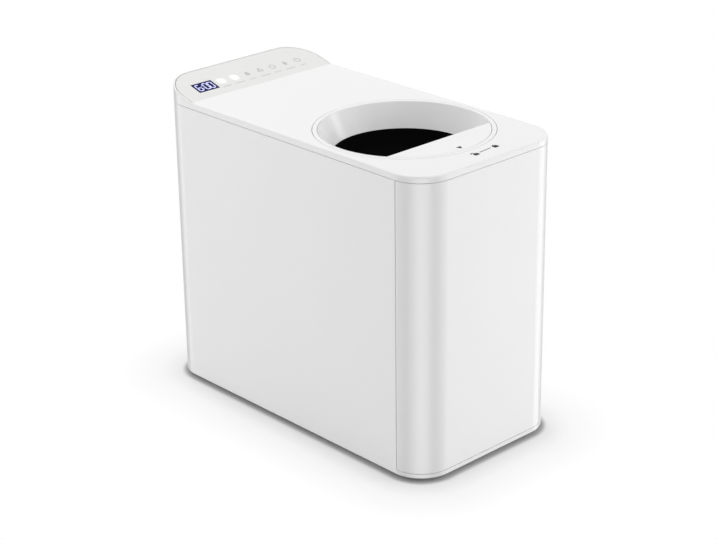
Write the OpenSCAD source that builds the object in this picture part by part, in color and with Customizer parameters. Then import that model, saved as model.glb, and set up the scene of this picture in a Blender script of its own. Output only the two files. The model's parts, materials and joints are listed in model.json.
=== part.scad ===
// Electric food waste composter. A tall narrow cabinet stands on rubber feet.
// A round bayonet lid at the front closes a heated well that holds a lift-out bucket.
// A motor and gear train under the well turn the agitator in the bucket, and a blower
// at the back draws the air of the well through a carbon filter drawer.
// +Z is up, the front faces -Y, and the origin is the centre of the footprint.

/* [Cabinet] */
// Width of the cabinet, left to right
body_w = 200; // [196:1:230]
// Depth of the cabinet, front to back
body_d = 393; // [388:1:430]
// Height of the flat top above the cabinet's bottom edge
body_h = 320; // [310:1:360]
// Radius of the four upright corners
corner_r = 37; // [25:1:45]
// Thickness of the moulded casings
wall = 2.5; // [2:0.1:3]
// Open width of the seams that show between the casings
seam = 0.5; // [0.3:0.1:0.8]
// Height of the top cover's edge band above its seam
cover_band = 6.4; // [5:0.1:9]
// Rounding of the top cover's upper edge
cover_edge_r = 2; // [1:0.1:2.4]
// Height of the plinth strip under the front panel
plinth_h = 4.4; // [3:0.1:8]
// Depth of the front panel, from the front face to its upright seams
front_panel_d = 35.3; // [28:0.1:40]
// Depth of the lips behind the seams
lip_d = 6; // [4:0.5:8]
// Thickness of the lips behind the seams
lip_t = 1.6; // [1.2:0.1:2]

/* [Base] */
// Height of the rubber feet under the cabinet
foot_h = 4; // [3:0.5:6]
// Radius of a rubber foot
foot_r = 9; // [7:0.5:11]
// Depth of the recess that holds a foot
foot_recess = 1; // [0.5:0.1:1.5]
// Thickness of the base tray
tray_t = 3; // [2.5:0.1:4]
// Height of the base tray's rim above its floor
tray_rim_h = 8; // [5:1:12]
// Radius of the casing screws
case_screw_r = 1.5; // [1.2:0.1:2]
// Distance of the casing screws from the front and rear faces
case_screw_set = 66; // [60:1:80]

/* [Lid] */
// Distance from the front face back to the lid's centre
lid_set = 123.5; // [121:0.5:130]
// Distance from the cabinet's side to the lid's ring
lid_side = 7.3; // [6.5:0.1:10]
// Width of the lid's ring
ring_w = 5.2; // [4.5:0.1:6]
// Height of the lid ring's flange
ring_h = 3.2; // [2.5:0.1:4]
// Thickness of the ring's skirt
skirt_t = 2; // [1.6:0.1:2.4]
// Width of the land between the lid's ring and the dish
dish_land = 0.8; // [0.5:0.1:2]
// How much smaller the dish's radius is at its floor
dish_flare = 14.1; // [10:0.1:17]
// Depth of the dish
dish_depth = 24.8; // [20:0.1:28]
// Thickness of the dish
dish_t = 2.2; // [1.8:0.1:2.6]
// Distance of the grip's straight edge in front of the lid's centre
grip_set = 48.9; // [40:0.1:60]
// Thickness of the grip plate
grip_t = 2.6; // [2:0.1:4]
// Thickness of the smoked window
window_t = 2.5; // [2:0.1:3.5]
// Width of the ledge under the window
window_ledge = 6.6; // [5:0.1:8]
// Angle through which the lid turns to lock
lock_turn = 16.7; // [14:0.1:20]
// Angle taken by one bayonet lug
lug_angle = 12; // [9:0.5:13]
// Number of bayonet lugs
lug_count = 4; // [3:1:5]
// Height of a bayonet lug, and of the ledge that it passes under
lug_h = 3; // [2:0.1:4]
// Reach of a lug beyond the skirt
lug_reach = 2.6; // [2:0.1:2.6]
// Height of the lid's gasket
gasket_h = 2.4; // [2:0.1:4]
// Width of the lid's gasket
gasket_w = 3; // [2:0.1:4]

/* [Control panel] */
// Distance of the panel's front crease from the rear face
panel_d = 53; // [46:0.5:60]
// Slope of the control panel in degrees
panel_slope = 15.8; // [10:0.1:20]
// Width of the casing that shows round the panel plate
panel_inset = 2.4; // [1.8:0.1:3]
// Thickness of the panel plate
panel_t = 2; // [1.6:0.1:2.4]
// Distance of the display's left edge from the cabinet's side
display_side = 22.5; // [20:0.5:30]
// Width of the display
display_w = 27.4; // [20:0.1:32]
// Length of the display up the slope
display_l = 17.3; // [14:0.1:20]
// Distance of the display's lower edge from the crease
display_set = 12.3; // [9:0.1:15]
// Radius of a touch key's lit field
key_r = 4; // [3:0.1:5]
// Distance from one touch key to the next
key_pitch = 18; // [15:0.5:19]
// Distance from the display to the first touch key
key_start = 10; // [8:0.5:12]
// Distance of the touch keys from the crease
key_set = 22.7; // [20:0.1:26]
// Distance of the key legends from the crease
legend_set = 11.7; // [9:0.1:14]
// Height of the space between the panel plate and its circuit board
board_space = 7; // [6:0.5:9]

/* [Bucket] */
// Distance from the cabinet's side to the bucket's wall
bucket_side = 22; // [21.5:0.5:24]
// Thickness of the bucket's wall
bucket_t = 1.5; // [1.2:0.1:2]
// Thickness of the bucket's floor
bucket_floor_t = 3; // [2.5:0.1:4]
// Width of the bucket's rim beyond the wall
rim_w = 3; // [2:0.1:3]
// Height of the bucket's rim
rim_h = 3; // [2:0.1:4]
// Height of the ring on which the bucket stands
stand_h = 7.7; // [7.7:0.1:9]
// Radius of the wire handle
bail_r = 2; // [1.5:0.1:2.2]
// Gap between the bucket's rim and the well's wall
bucket_gap = 1; // [0.8:0.1:2]
// Thickness of the well's wall
well_t = 1.5; // [1.2:0.1:2]
// Thickness of the insulation round the well
jacket_t = 4.3; // [3:0.1:5]
// Thickness of the heater plate
heater_t = 6; // [4:0.5:7]
// Radius of the heating element's tube
element_r = 2.5; // [2:0.1:2.6]

/* [Agitator] */
// Radius of the agitator's hub
hub_r = 13; // [11:0.5:16]
// Gap between the agitator's lower arms and the bucket's wall
arm_gap = 5.5; // [3.5:0.5:16]
// Width of an agitator arm
arm_w = 12; // [8:0.5:16]
// Height of an agitator arm
arm_h = 8; // [6:0.5:10]
// Height of the upturned end of a lower arm
tooth_h = 13; // [8:0.5:15]
// Thickness of a fixed blade
blade_h = 6; // [4:0.5:8]
// Reach of a fixed blade in from the bucket's wall
blade_l = 30; // [20:1:40]
// Radius of the agitator's shaft
agitator_shaft_r = 6; // [5:0.1:7]
// Radius of the hexagonal drive dog, across its corners
dog_r = 5.5; // [4.5:0.1:6]

/* [Gear train] */
// Module of the output gear pair
m_out = 1.5; // [1.5:0.05:1.6]
// Module of the middle gear pair
m_mid = 1.25; // [1.2:0.05:1.3]
// Module of the motor's gear pair
m_in = 1; // [1:0.05:1.1]
// Teeth of the output gear
z_out = 54; // [54:1:54]
// Teeth of the two idler pinions
z_pin = 15; // [15:1:15]
// Teeth of the first idler's wheel
z_mid = 45; // [45:1:45]
// Teeth of the second idler's wheel
z_in = 42; // [42:1:42]
// Teeth of the motor's pinion
z_motor = 14; // [14:1:14]
// Radius of the output shaft
output_shaft_r = 8; // [7:0.1:9]
// Radius of the idlers' axles
axle_r = 3; // [2.5:0.1:3.5]
// Radius of the motor's shaft
motor_shaft_r = 2.5; // [2:0.1:2.8]
// Radius of the motor
motor_r = 27; // [22:0.5:28]
// Height of the motor
motor_h = 68; // [50:1:90]
// Thickness of the gearbox's walls
box_t = 4; // [3:0.1:5]

/* [Air path] */
// Radius of the blower's housing
blower_r = 36; // [32:0.5:37]
// Height of the blower's housing
blower_h = 28; // [24:0.5:32]
// Number of blades on the impeller
impeller_blades = 24; // [12:1:32]
// Radius of the impeller
impeller_r = 27; // [22:0.5:29]
// Inner width of the exhaust duct
duct_w = 32; // [24:1:40]
// Inner height of the exhaust duct
duct_h = 16; // [12:0.5:18]
// Width of the filter drawer
drawer_w = 99; // [85:1:110]
// Height of the filter drawer
drawer_h = 107; // [90:1:120]
// Distance between the blower and the filter housing
blower_gap = 10.5; // [6:0.5:20]
// Thickness of thin plastic walls inside
thin = 1.6; // [1.4:0.1:2.2]

/* [Power] */
// Distance of the mains inlet's middle from the cabinet's middle
inlet_x = 62; // [56:1:70]
// Height of the mains inlet's middle above the cabinet's bottom edge
inlet_z = 32; // [30:1:60]
// Length of the power board, front to back
power_board_l = 70; // [60:1:74]
// Width of the power board
power_board_w = 140; // [120:1:150]

/* [Hidden] */

$fn = 96;
white = [0.95, 0.95, 0.95];
dark = [0.04, 0.04, 0.05];
grey = [0.55, 0.56, 0.58];
tiny = 0.01;        // overlap of shapes that are joined into one solid

// Clearances
gap = 0.3;          // between pieces on different sides of a joint
fit = 0.05;         // radial clearance of a running fit
slip = 0.15;        // between pieces that are assembled and stay
press = 0.02;       // radial clearance of a seat

// Levels and places of the cabinet
bottom_z = foot_h;
top_z = foot_h + body_h;
cover_z = top_z - cover_band;
tray_z = bottom_z + tray_t;
front_y = -body_d / 2;
rear_y = body_d / 2;
panel_seam_y = front_y + front_panel_d;
lid_y = front_y + lid_set;
crease_y = rear_y - panel_d;
foot_x = body_w / 2 - 30;
foot_y = body_d / 2 - 38;
screw_x = body_w / 2 - wall - 4.3;
screw_y = body_d / 2 - case_screw_set;
boss_r = case_screw_r + 3;
boss_h = 24;
screw_l = 12;       // length of a casing screw above the tray's floor
screw_hole = 16;    // depth of its hole
box_leg_r = 5;      // standoffs of the gearbox and of the power board
box_leg_x = 8;
box_leg_y = 22;
board_leg_r = 3.5;
board_leg_set = 5;
vent_w = 3;         // vent slots in the tray and in the rear wall
vent_l = 30;
vent_pitch = 12;
tray_vents = 6;
rear_vents = 10;
rear_vent_h = 40;
rear_vent_rise = 22;
inlet_w = 30;       // face of the mains inlet
inlet_h = 24;
inner_wall_y = rear_y - wall;

// Lid
magnet_angle = 100; // direction of the magnet at rest
print_h = 0.12;     // height of the printed marks
lid_r = body_w / 2 - lid_side;
hole_r = lid_r + gap;
ring_in_r = lid_r - ring_w;
dish_top_r = ring_in_r - dish_land;
dish_floor_r = dish_top_r - dish_flare;
ring_z = top_z - ring_h;
ledge_top = ring_z - gap;
ledge_bottom = ledge_top - lug_h;
lug_top = ledge_bottom - gap;
lug_bottom = lug_top - lug_h;
skirt_r = ring_in_r + 0.5 + skirt_t;
ledge_r = skirt_r + gap;
collar_t = 2.7;
dish_floor_z = top_z - dish_depth;
dish_slope = (dish_top_r - dish_floor_r) / dish_depth;
dish_side = dish_t * sqrt(1 + dish_slope * dish_slope);
dish_outer_floor_r = dish_floor_r + dish_side;
window_z = dish_floor_z - window_t;
lid_floor_z = window_z - dish_t;
ledge_in_r = dish_floor_r - window_ledge;
plate_top = lid_floor_z - gap;
plate_t = 2;
plate_z = plate_top - plate_t;
gasket_z = plate_z - gasket_h;
flange_top = gasket_z - gap;
lug_pitch = 360 / lug_count;
rest_lug = 45;      // direction of the first lug at rest

// Well and bucket
bucket_r = body_w / 2 - bucket_side;
rim_r = bucket_r + rim_w;
well_r = rim_r + bucket_gap;
well_out_r = well_r + well_t;
flange_t = 1.5;
gasket_r = well_r + 1 + gasket_w;
flange_r = hole_r + collar_t;
jacket_r = well_out_r + 0.2 + jacket_t;
bucket_in_r = bucket_r - bucket_t;
arm_r = bucket_in_r - arm_gap;
bail_gap = 0.3;
rim_top = flange_top - 3.5;
bail_z = rim_top + bail_gap + bail_r;
bail_path_r = rim_r - bail_r + 0.3;
ear_x = bucket_in_r - 3;
ear_t = 3.4;
bail_pin_r = bail_r - 0.3;
ear_r = bail_r + 1.2;

// Gearbox levels
box_z = tray_z + 14;
plane_1 = box_z + box_t + 3;
gear_w = 8;
plane_2 = plane_1 + 12;
wheel_w = 7;
plane_3 = plane_2 + 10;
thin_w = 5;
box_top = plane_3 + thin_w + 3;
cover_top = box_top + box_t;
deck_z = cover_top + 8;
deck_t = 2.5;
well_skirt_h = heater_t + 2 * element_r + 0.5;
well_floor_z = deck_z + deck_t + well_skirt_h;
well_floor_t = 2;
well_in_z = well_floor_z + well_floor_t;
bucket_z = well_in_z + gap + stand_h;
bucket_in_z = bucket_z + bucket_floor_t;

// Gear places, along the middle of the cabinet
y_out = lid_y;
y_a = y_out + m_out * (z_out + z_pin) / 2;
y_b = y_a + m_mid * (z_mid + z_pin) / 2;
y_m = y_b + m_in * (z_in + z_motor) / 2;
backlash = 0.12;
bearing_r = output_shaft_r + 6;
bearing_h = 5;
box_half_w = m_mid * z_mid / 2 + m_mid + 2 + box_t;
box_round_r = m_out * z_out / 2 + m_out + 2 + box_t;
box_rear_y = y_m + m_in * z_motor / 2 + 4 + box_t;

// Agitator levels
agitator_z = bucket_in_z + 1.6;
upper_arm_z = agitator_z + arm_h + tooth_h + 4 + blade_h + 4;
hub_top = upper_arm_z + arm_h + 4;
blade_z = agitator_z + arm_h + tooth_h + 4;
dog_hub_r = dog_r + 5.5;
dog_hub_top = bucket_z - 0.4;
dog_base = well_in_z + 0.6;
dog_top = dog_base + 5.2;

// Air path levels
face_gap = 0.4;     // round the filter drawer
port_z = flange_top - flange_t - 9 - duct_h;
duct_z = port_z - thin;
blower_y = well_out_r + lid_y + blower_r + 19;
blower_z = duct_z - blower_h;
outlet_w = blower_r - 6;
fan_shaft_r = 2;
eye_r = 15;         // the blower's inlet in the duct's floor
housing_z = blower_z - drawer_h + blower_h;
housing_y = blower_y + blower_r + blower_gap;
drawer_d = inner_wall_y - housing_y - 4;
drawer_z = housing_z + thin + face_gap;
drawer_top = drawer_z + drawer_h - 2 * (thin + face_gap);

module rounded_outline(inset) {
    w = body_w - 2 * inset;
    d = body_d - 2 * inset;
    r = corner_r - inset;
    square([w - 2 * r, d], center = true);
    square([w, d - 2 * r], center = true);
    for (sx = [-1, 1], sy = [-1, 1])
        translate([sx * (w / 2 - r), sy * (d / 2 - r)])
            circle(r = r);
}

module prism(inset, z0, z1) {
    translate([0, 0, z0])
        linear_extrude(z1 - z0)
            rounded_outline(inset);
}

// A wall that follows the cabinet's outline, between two insets and two levels
module outline_wall(inset_out, inset_in, z0, z1) {
    translate([0, 0, z0])
        linear_extrude(z1 - z0)
            difference() {
                rounded_outline(inset_out);
                rounded_outline(inset_in);
            }
}

// A block across the whole width, between two depths and two levels
module across(y0, y1, z0, z1) {
    translate([-body_w, y0, z0])
        cube([2 * body_w, y1 - y0, z1 - z0]);
}

module ring(r_out, r_in, h) {
    difference() {
        cylinder(r = r_out, h = h);
        translate([0, 0, -1])
            cylinder(r = r_in, h = h + 2);
    }
}

// An angular sector, centred on one direction, for cutting rings
module sector(angle, r, h) {
    rotate([0, 0, -angle / 2])
        rotate_extrude(angle = angle)
            square([r, h]);
}

module box(x0, x1, y0, y1, z0, z1) {
    translate([x0, y0, z0])
        cube([x1 - x0, y1 - y0, z1 - z0]);
}

module at_lid() {
    translate([0, lid_y, 0])
        children();
}

// The frame of the sloping panel: X across, Y up the slope, Z out of the panel
module on_panel() {
    translate([0, crease_y, top_z])
        rotate([panel_slope, 0, 0])
            children();
}

module panel_slab(w0, w1) {
    on_panel()
        translate([-body_w, 0, w0])
            cube([2 * body_w, 2 * panel_d, w1 - w0]);
}

// ---- Cabinet ----

module base_tray() {
    color(white)
    difference() {
        union() {
            prism(wall + slip, bottom_z, tray_z);
            outline_wall(wall + slip, wall + slip + 2, tray_z - tiny, tray_z + tray_rim_h);
            for (sx = [-1, 1], y = [lid_y - box_leg_y, lid_y + box_leg_y, box_rear_y - box_leg_x])
                translate([sx * (box_half_w - box_leg_x), y, tray_z - tiny])
                    cylinder(r = box_leg_r, h = box_z - tray_z + tiny);
            for (sx = [-1, 1], end = [0, 1])
                translate([sx * (power_board_w / 2 - board_leg_set), board_y(end), tray_z - tiny])
                    cylinder(r = board_leg_r, h = power_board_z - tray_z + tiny);
        }
        feet_places()
            translate([0, 0, bottom_z - 1])
                cylinder(r = foot_r + slip, h = 1 + foot_recess);
        screw_places() {
            translate([0, 0, bottom_z - 1])
                cylinder(r = case_screw_r + 0.2, h = tray_t + 2);
            translate([0, 0, bottom_z - 1])
                cylinder(r = 2 * case_screw_r + 0.2, h = 1 + 1.6);
            translate([0, 0, tray_z])
                cylinder(r = boss_r + gap, h = tray_rim_h + 1);
        }
        for (i = [0 : tray_vents - 1], sx = [-1, 1])
            translate([sx * vent_l - vent_l / 2, inner_wall_y - 134 + vent_pitch * i, bottom_z - 1])
                cube([vent_l, vent_w, tray_t + 2]);
    }
}

module feet_places() {
    for (sx = [-1, 1], sy = [-1, 1])
        translate([sx * foot_x, sy * foot_y, 0])
            children();
}

module screw_places() {
    for (sx = [-1, 1], sy = [-1, 1])
        translate([sx * screw_x, sy * screw_y, 0])
            children();
}

module rubber_feet() {
    color(dark)
    feet_places() {
        cylinder(r1 = foot_r - 1, r2 = foot_r, h = 1);
        translate([0, 0, 1])
            cylinder(r = foot_r, h = foot_h + foot_recess - 1);
    }
}

module case_screws() {
    color(grey)
    screw_places() {
        translate([0, 0, bottom_z + 0.2])
            cylinder(r = 2 * case_screw_r, h = 1.4);
        translate([0, 0, bottom_z + 1.4])
            cylinder(r = case_screw_r, h = tray_t + screw_l);
    }
}

// Sides, rear and plinth strip in one moulding. Lips behind the front panel's seams
// carry the front panel.
module main_shell() {
    color(white)
    difference() {
        union() {
            difference() {
                outline_wall(0, wall, bottom_z, cover_z - seam);
                across(front_y - 1, panel_seam_y, bottom_z + plinth_h, cover_z);
            }
            intersection() {
                outline_wall(wall - 0.5, wall + lip_t, tray_z + tray_rim_h + 1, cover_z - lip_d - 2);
                across(panel_seam_y, panel_seam_y + lip_d, 0, top_z);
            }
            intersection() {
                outline_wall(wall + slip, wall + lip_t, tray_z + tray_rim_h + 1, cover_z - lip_d - 2);
                across(panel_seam_y - lip_d, panel_seam_y + 1, 0, top_z);
            }
            screw_places()
                translate([0, 0, tray_z + 0.2])
                    cylinder(r = boss_r, h = boss_h);
        }
        screw_places()
            translate([0, 0, tray_z - 1])
                cylinder(r = case_screw_r + press, h = screw_hole);
        box(-drawer_w / 2 - face_gap, drawer_w / 2 + face_gap, rear_y - 10, rear_y + 1,
            drawer_z - face_gap, drawer_top + face_gap);
        translate([-inlet_x, rear_y, bottom_z + inlet_z])
            cube([inlet_w, 20, inlet_h], center = true);
        for (i = [0 : rear_vents - 1])
            translate([vent_pitch * i - 38, rear_y, bottom_z + inlet_z + rear_vent_rise + rear_vent_h / 2])
                cube([vent_w, 20, rear_vent_h], center = true);
    }
}

// U-shaped panel that wraps both front corners and stands on the plinth strip
module front_panel() {
    color(white)
    difference() {
        outline_wall(0, wall, bottom_z + plinth_h + seam, cover_z - seam);
        across(panel_seam_y - seam, rear_y + 1, 0, top_z);
    }
}

// Half of the top cover's section: from its middle out to the rounded upper edge
function cover_half(half_w) =
    let (f = cover_edge_r)
    concat([[0, 0], [half_w, 0]],
        [for (i = [0 : 6]) [half_w - f + f * cos(15 * i), cover_band - f + f * sin(15 * i)]],
        [[0, cover_band]]);

// The flat front part of the top cover, up to the panel's crease
module cover_front() {
    cx = body_w / 2 - corner_r;
    corner_y = front_y + corner_r;
    translate([0, 0, cover_z]) {
        for (m = [0, 1])
            mirror([m, 0, 0]) {
                translate([0, crease_y, 0])
                    rotate([90, 0, 0])
                        linear_extrude(crease_y - corner_y)
                            polygon(cover_half(body_w / 2));
                translate([cx, corner_y, 0])
                    rotate([0, 0, -90])
                        rotate_extrude(angle = 90)
                            polygon(cover_half(corner_r));
            }
        translate([-cx, corner_y, 0])
            rotate([90, 0, 90])
                mirror([1, 0, 0])
                    linear_extrude(2 * cx)
                        polygon(cover_half(corner_r));
    }
}

// A solid under the slope of the panel, behind its crease
module wedge(inset, w) {
    difference() {
        intersection() {
            prism(inset, cover_z, top_z + panel_d);
            across(crease_y, rear_y + 1, cover_z, top_z + panel_d);
        }
        on_panel()
            translate([-body_w, -panel_d, w])
                cube([2 * body_w, 3 * panel_d, 2 * panel_d]);
    }
}

module lid_collar() {
    at_lid()
    difference() {
        translate([0, 0, flange_top])
            cylinder(r = hole_r + collar_t, h = top_z - flange_top);
        translate([0, 0, flange_top - 1])
            cylinder(r = hole_r, h = ledge_bottom - flange_top + 1);
        translate([0, 0, ledge_bottom - 1])
            cylinder(r = ledge_r, h = lug_h + 2);
        translate([0, 0, ledge_top])
            cylinder(r = hole_r, h = top_z);
        for (i = [0 : lug_count - 1])
            rotate([0, 0, rest_lug + i * lug_pitch])
                translate([0, 0, ledge_bottom - 1])
                    sector(lug_angle + 1.2, hole_r - 0.05, lug_h + 2);
    }
}

// Ribs under the ledge where the lugs stop
module lid_stops() {
    at_lid()
        for (i = [0 : lug_count - 1])
            rotate([0, 0, rest_lug + i * lug_pitch + lock_turn + lug_angle / 2 + 2])
                translate([0, 0, lug_bottom - 1])
                    intersection() {
                        ring(hole_r + 1, skirt_r + 0.4, lug_h + 1.5);
                        sector(3, hole_r + 2, lug_h + 1.5);
                    }
}

module top_cover() {
    color(white)
    difference() {
        union() {
            difference() {
                union() {
                    cover_front();
                    wedge(0, 0);
                }
                prism(wall, cover_z - 1, top_z - wall);
                wedge(wall, -panel_t - 2);
                difference() {
                    prism(panel_inset - slip, top_z - panel_d, top_z + panel_d);
                    on_panel()
                        translate([-body_w, -2 * panel_d, -panel_t - 2 * panel_d])
                            cube([2 * body_w, 4 * panel_d, 2 * panel_d]);
                    across(front_y - 1, crease_y, 0, 2 * top_z);
                }
                at_lid()
                    cylinder(r = hole_r + 1, h = 2 * top_z);
            }
            lid_collar();
            lid_stops();
            outline_wall(wall + slip, wall + slip + lip_t, cover_z - lip_d, top_z - wall + tiny);
        }
        on_panel()
            translate([-display_left - 4, 6, -panel_t - 5])
                cube([2 * display_left + 8, panel_d - 18, 6]);
    }
}

// Two small padlocks joined by a thin line, printed in front of the lid
module lock_markings() {
    color(dark)
    translate([0, lid_y - lid_r, top_z]) {
        padlock(-6.3, -11.9, 0);
        padlock(23.5, -9.5, 1);
        translate([-0.8, -11.2, 0])
            rotate([0, 0, 5.5])
                cube([19.8, 0.5, print_h]);
    }
}

module padlock(x, y, closed) {
    translate([x, y, 0]) {
        translate([-2.4, -2.2, 0])
            cube([4.8, 3.6, print_h]);
        translate([closed ? 0 : -1.5, closed ? 1.4 : 2.2, 0])
            linear_extrude(print_h)
                intersection() {
                    difference() {
                        circle(r = 1.9);
                        circle(r = 1.2);
                    }
                    translate([-3, 0])
                        square([6, 3]);
                }
        translate([closed ? -1.9 : 0.4 - tiny, 1.4 - tiny, 0])
            cube([0.7 - (closed ? 0 : tiny), 0.8 + tiny, print_h]);
        if (closed)
            translate([1.2, 0.8, 0])
                cube([0.7, 0.7, print_h]);
    }
}

// ---- Control panel ----

display_left = body_w / 2 - display_side;
key_x = [for (i = [0 : 6]) -display_left + display_w + key_start + key_pitch * i];
legend_w = [11, 13, 9, 14, 10, 14, 8];

module control_panel() {
    color([0.92, 0.92, 0.91])
    difference() {
        intersection() {
            prism(panel_inset, top_z - panel_d, top_z + panel_d);
            panel_slab(-panel_t, 0);
        }
        on_panel() {
            translate([-display_left, display_set, -panel_t - 1])
                cube([display_w, display_l, panel_t + 2]);
            for (i = [0, 1])
                translate([key_x[i], key_set, -panel_t - 1])
                    cylinder(r = key_r, h = panel_t + 2);
        }
    }
}

module display_window() {
    color(dark)
    on_panel()
        translate([-display_left + slip, display_set + slip, -panel_t])
            cube([display_w - 2 * slip, display_l - 2 * slip, panel_t - 0.1]);
}

// One seven-segment figure; the bits of shown turn its bars on
digit_w = 5.2;
digit_h = 11;
bar = 1.2;
module figure(shown) {
    spots = [[0, 2, 0], [1, 1.5, 1], [1, 0.5, 1], [0, 0, 0], [0, 0.5, 1], [0, 1.5, 1], [0, 1, 0]];
    for (i = [0 : 6])
        if (shown[i] == 1)
            translate([spots[i][0] * digit_w, spots[i][1] * digit_h / 2, 0])
                if (spots[i][2] == 1)
                    translate([-bar / 2, -digit_h / 4 + bar * 0.6, 0])
                        cube([bar, digit_h / 2 - bar * 1.2, 0.1]);
                else
                    translate([bar * 0.6, -bar / 2, 0])
                        cube([digit_w - bar * 1.2, bar, 0.1]);
}

// The time left, as a plain number
module display_digits() {
    six = [1, 0, 1, 1, 1, 1, 1];
    zero = [1, 1, 1, 1, 1, 1, 0];
    shown_w = 22;
    color([0.75, 0.78, 1])
    on_panel()
        translate([-display_left + (display_w - shown_w) / 2, display_set + (display_l - digit_h) / 2, -0.1]) {
            figure(six);
            for (k = [0.3, 0.7])
                translate([7.2 - bar / 2, k * digit_h - bar / 2, 0])
                    cube([bar, bar, 0.1]);
            translate([9.4, 0, 0])
                figure(zero);
            translate([shown_w - digit_w, 0, 0])
                figure(zero);
        }
}

module key_lights() {
    color([1, 1, 1])
    on_panel()
        for (i = [0, 1])
            translate([key_x[i], key_set, -panel_t])
                cylinder(r = key_r - slip, h = panel_t);
}

// Generic marks on the five unlit keys: drop, fan, ring, leaf and power
module key_icons() {
    color([0.8, 0.8, 0.8])
    on_panel()
        for (i = [2 : 6])
            translate([key_x[i], key_set, 0])
                linear_extrude(0.06)
                    key_icon(i - 2);
}

module key_icon(kind) {
    if (kind == 0) {
        circle(r = 2);
        polygon([[-1.9, 0.6], [1.9, 0.6], [0, 4]]);
    }
    if (kind == 1)
        for (k = [0 : 2])
            rotate(120 * k)
                translate([0, 2])
                    circle(r = 1.2);
    if (kind == 2)
        difference() {
            circle(r = 3);
            circle(r = 2.3);
        }
    if (kind == 3)
        intersection() {
            translate([-1.5, 0])
                circle(r = 3.2);
            translate([1.5, 0])
                circle(r = 3.2);
        }
    if (kind == 4) {
        difference() {
            circle(r = 3);
            circle(r = 2.3);
            translate([-1.2, 0])
                square([2.4, 4]);
        }
        translate([-0.35, 0.6])
            square([0.7, 3]);
    }
}

module key_legends() {
    color([0.8, 0.8, 0.8])
    on_panel()
        for (i = [0 : 6])
            translate([key_x[i] - legend_w[i] / 2, legend_set - 0.6, 0])
                cube([legend_w[i], 1.2, 0.06]);
}

module display_board() {
    color([0.1, 0.35, 0.2])
    on_panel()
        translate([-display_left - 3, 7, -panel_t - board_space - board_t])
            cube([2 * display_left + 6, panel_d - 20, board_t]);
}

module display_module() {
    color(dark)
    on_panel()
        translate([-display_left + 0.5, display_set + 0.5, -panel_t - board_space])
            cube([display_w - 1, display_l - 1, board_space]);
}

module touch_pillars() {
    color(grey)
    on_panel()
        for (x = key_x)
            translate([x, key_set, -panel_t - board_space])
                cylinder(r = key_r - 0.5, h = board_space);
}

// ---- Lid ----

module lid_ring() {
    color(white)
    at_lid() {
        translate([0, 0, ring_z])
            ring(lid_r, ring_in_r, ring_h);
        translate([0, 0, lug_bottom])
            ring(skirt_r, skirt_r - skirt_t, ring_z - lug_bottom + tiny);
        for (i = [0 : lug_count - 1])
            rotate([0, 0, rest_lug + i * lug_pitch])
                translate([0, 0, lug_bottom])
                    intersection() {
                        ring(skirt_r + lug_reach, skirt_r - tiny, lug_h);
                        sector(lug_angle, hole_r + 1, lug_h);
                    }
    }
}

// Conical dish with the flat grip plate across its front, in one moulding
module lid_dish() {
    color(white)
    at_lid() {
        rotate_extrude()
            polygon([
                [dish_top_r, top_z],
                [ring_in_r - seam / 2, top_z],
                [ring_in_r - seam / 2, ring_z],
                [dish_top_r + dish_side - ring_h * dish_slope - fit, ring_z],
                [dish_outer_floor_r, dish_floor_z],
                [dish_outer_floor_r, lid_floor_z],
                [ledge_in_r + 2, lid_floor_z],
                [ledge_in_r + 2, window_z],
                [dish_floor_r, window_z],
                [dish_floor_r, dish_floor_z]]);
        translate([0, 0, lid_floor_z])
            ring(ledge_in_r + 2.5, ledge_in_r, 0.8);
        translate([0, 0, top_z - grip_t])
            intersection() {
                cylinder(r = dish_top_r + 0.2, h = grip_t);
                translate([-lid_r, -lid_r, 0])
                    cube([2 * lid_r, lid_r - grip_set, grip_t]);
            }
    }
}

module lid_window() {
    color(dark)
    at_lid()
        translate([0, 0, window_z])
            cylinder(r = dish_floor_r - slip, h = window_t);
}

// Small triangle that points to the padlocks
module lid_arrow() {
    color(dark)
    translate([-3.5, lid_y - lid_r + 11.8, top_z])
        linear_extrude(print_h)
            polygon([[-2, 1.6], [2, 1.6], [0, -1.9]]);
}

module lid_magnet() {
    color(grey)
    at_lid()
        rotate([0, 0, magnet_angle])
            translate([skirt_r - skirt_t - 2.2, -3, lug_bottom])
                cube([2, 6, lug_h]);
}

module lid_sensor() {
    color(dark)
    at_lid()
        rotate([0, 0, magnet_angle + lock_turn])
            translate([hole_r + collar_t + 0.1, -6, lug_bottom - 4])
                cube([4, 12, 8]);
}

// Plate under the lid that does not turn; its inner lip snaps over the dish's ledge
module lid_seal_plate() {
    color(grey)
    at_lid()
        rotate_extrude()
            polygon([
                [ledge_in_r - 4, plate_z],
                [gasket_r, plate_z],
                [gasket_r, plate_top],
                [ledge_in_r - 0.4, plate_top],
                [ledge_in_r - 0.4, plate_top + 1.5],
                [ledge_in_r + 1.2, plate_top + 1.5],
                [ledge_in_r + 1.2, plate_top + 2.2],
                [ledge_in_r - 4, plate_top + 2.2]]);
}

module lid_gasket() {
    color(dark)
    at_lid()
        translate([0, 0, gasket_z])
            difference() {
                cylinder(r = gasket_r, h = gasket_h);
                translate([0, 0, -1])
                    cylinder(r = gasket_r - gasket_w, h = gasket_h + 2);
            }
}

// ---- Well ----

module port_cut(y0, y1, extra) {
    box(-duct_w / 2 - extra, duct_w / 2 + extra, y0, y1, port_z - extra, port_z + duct_h + extra);
}

module heated_well() {
    color([0.75, 0.76, 0.78])
    difference() {
        at_lid() {
            translate([0, 0, deck_z + deck_t])
                ring(well_out_r, well_r, flange_top - deck_z - deck_t);
            translate([0, 0, well_floor_z])
                ring(well_r + tiny, output_shaft_r + 5, well_floor_t);
            translate([0, 0, flange_top - flange_t])
                ring(flange_r, well_r, flange_t);
        }
        port_cut(lid_y + well_r - 10, lid_y + well_out_r + 5, 0);
    }
}

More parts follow.
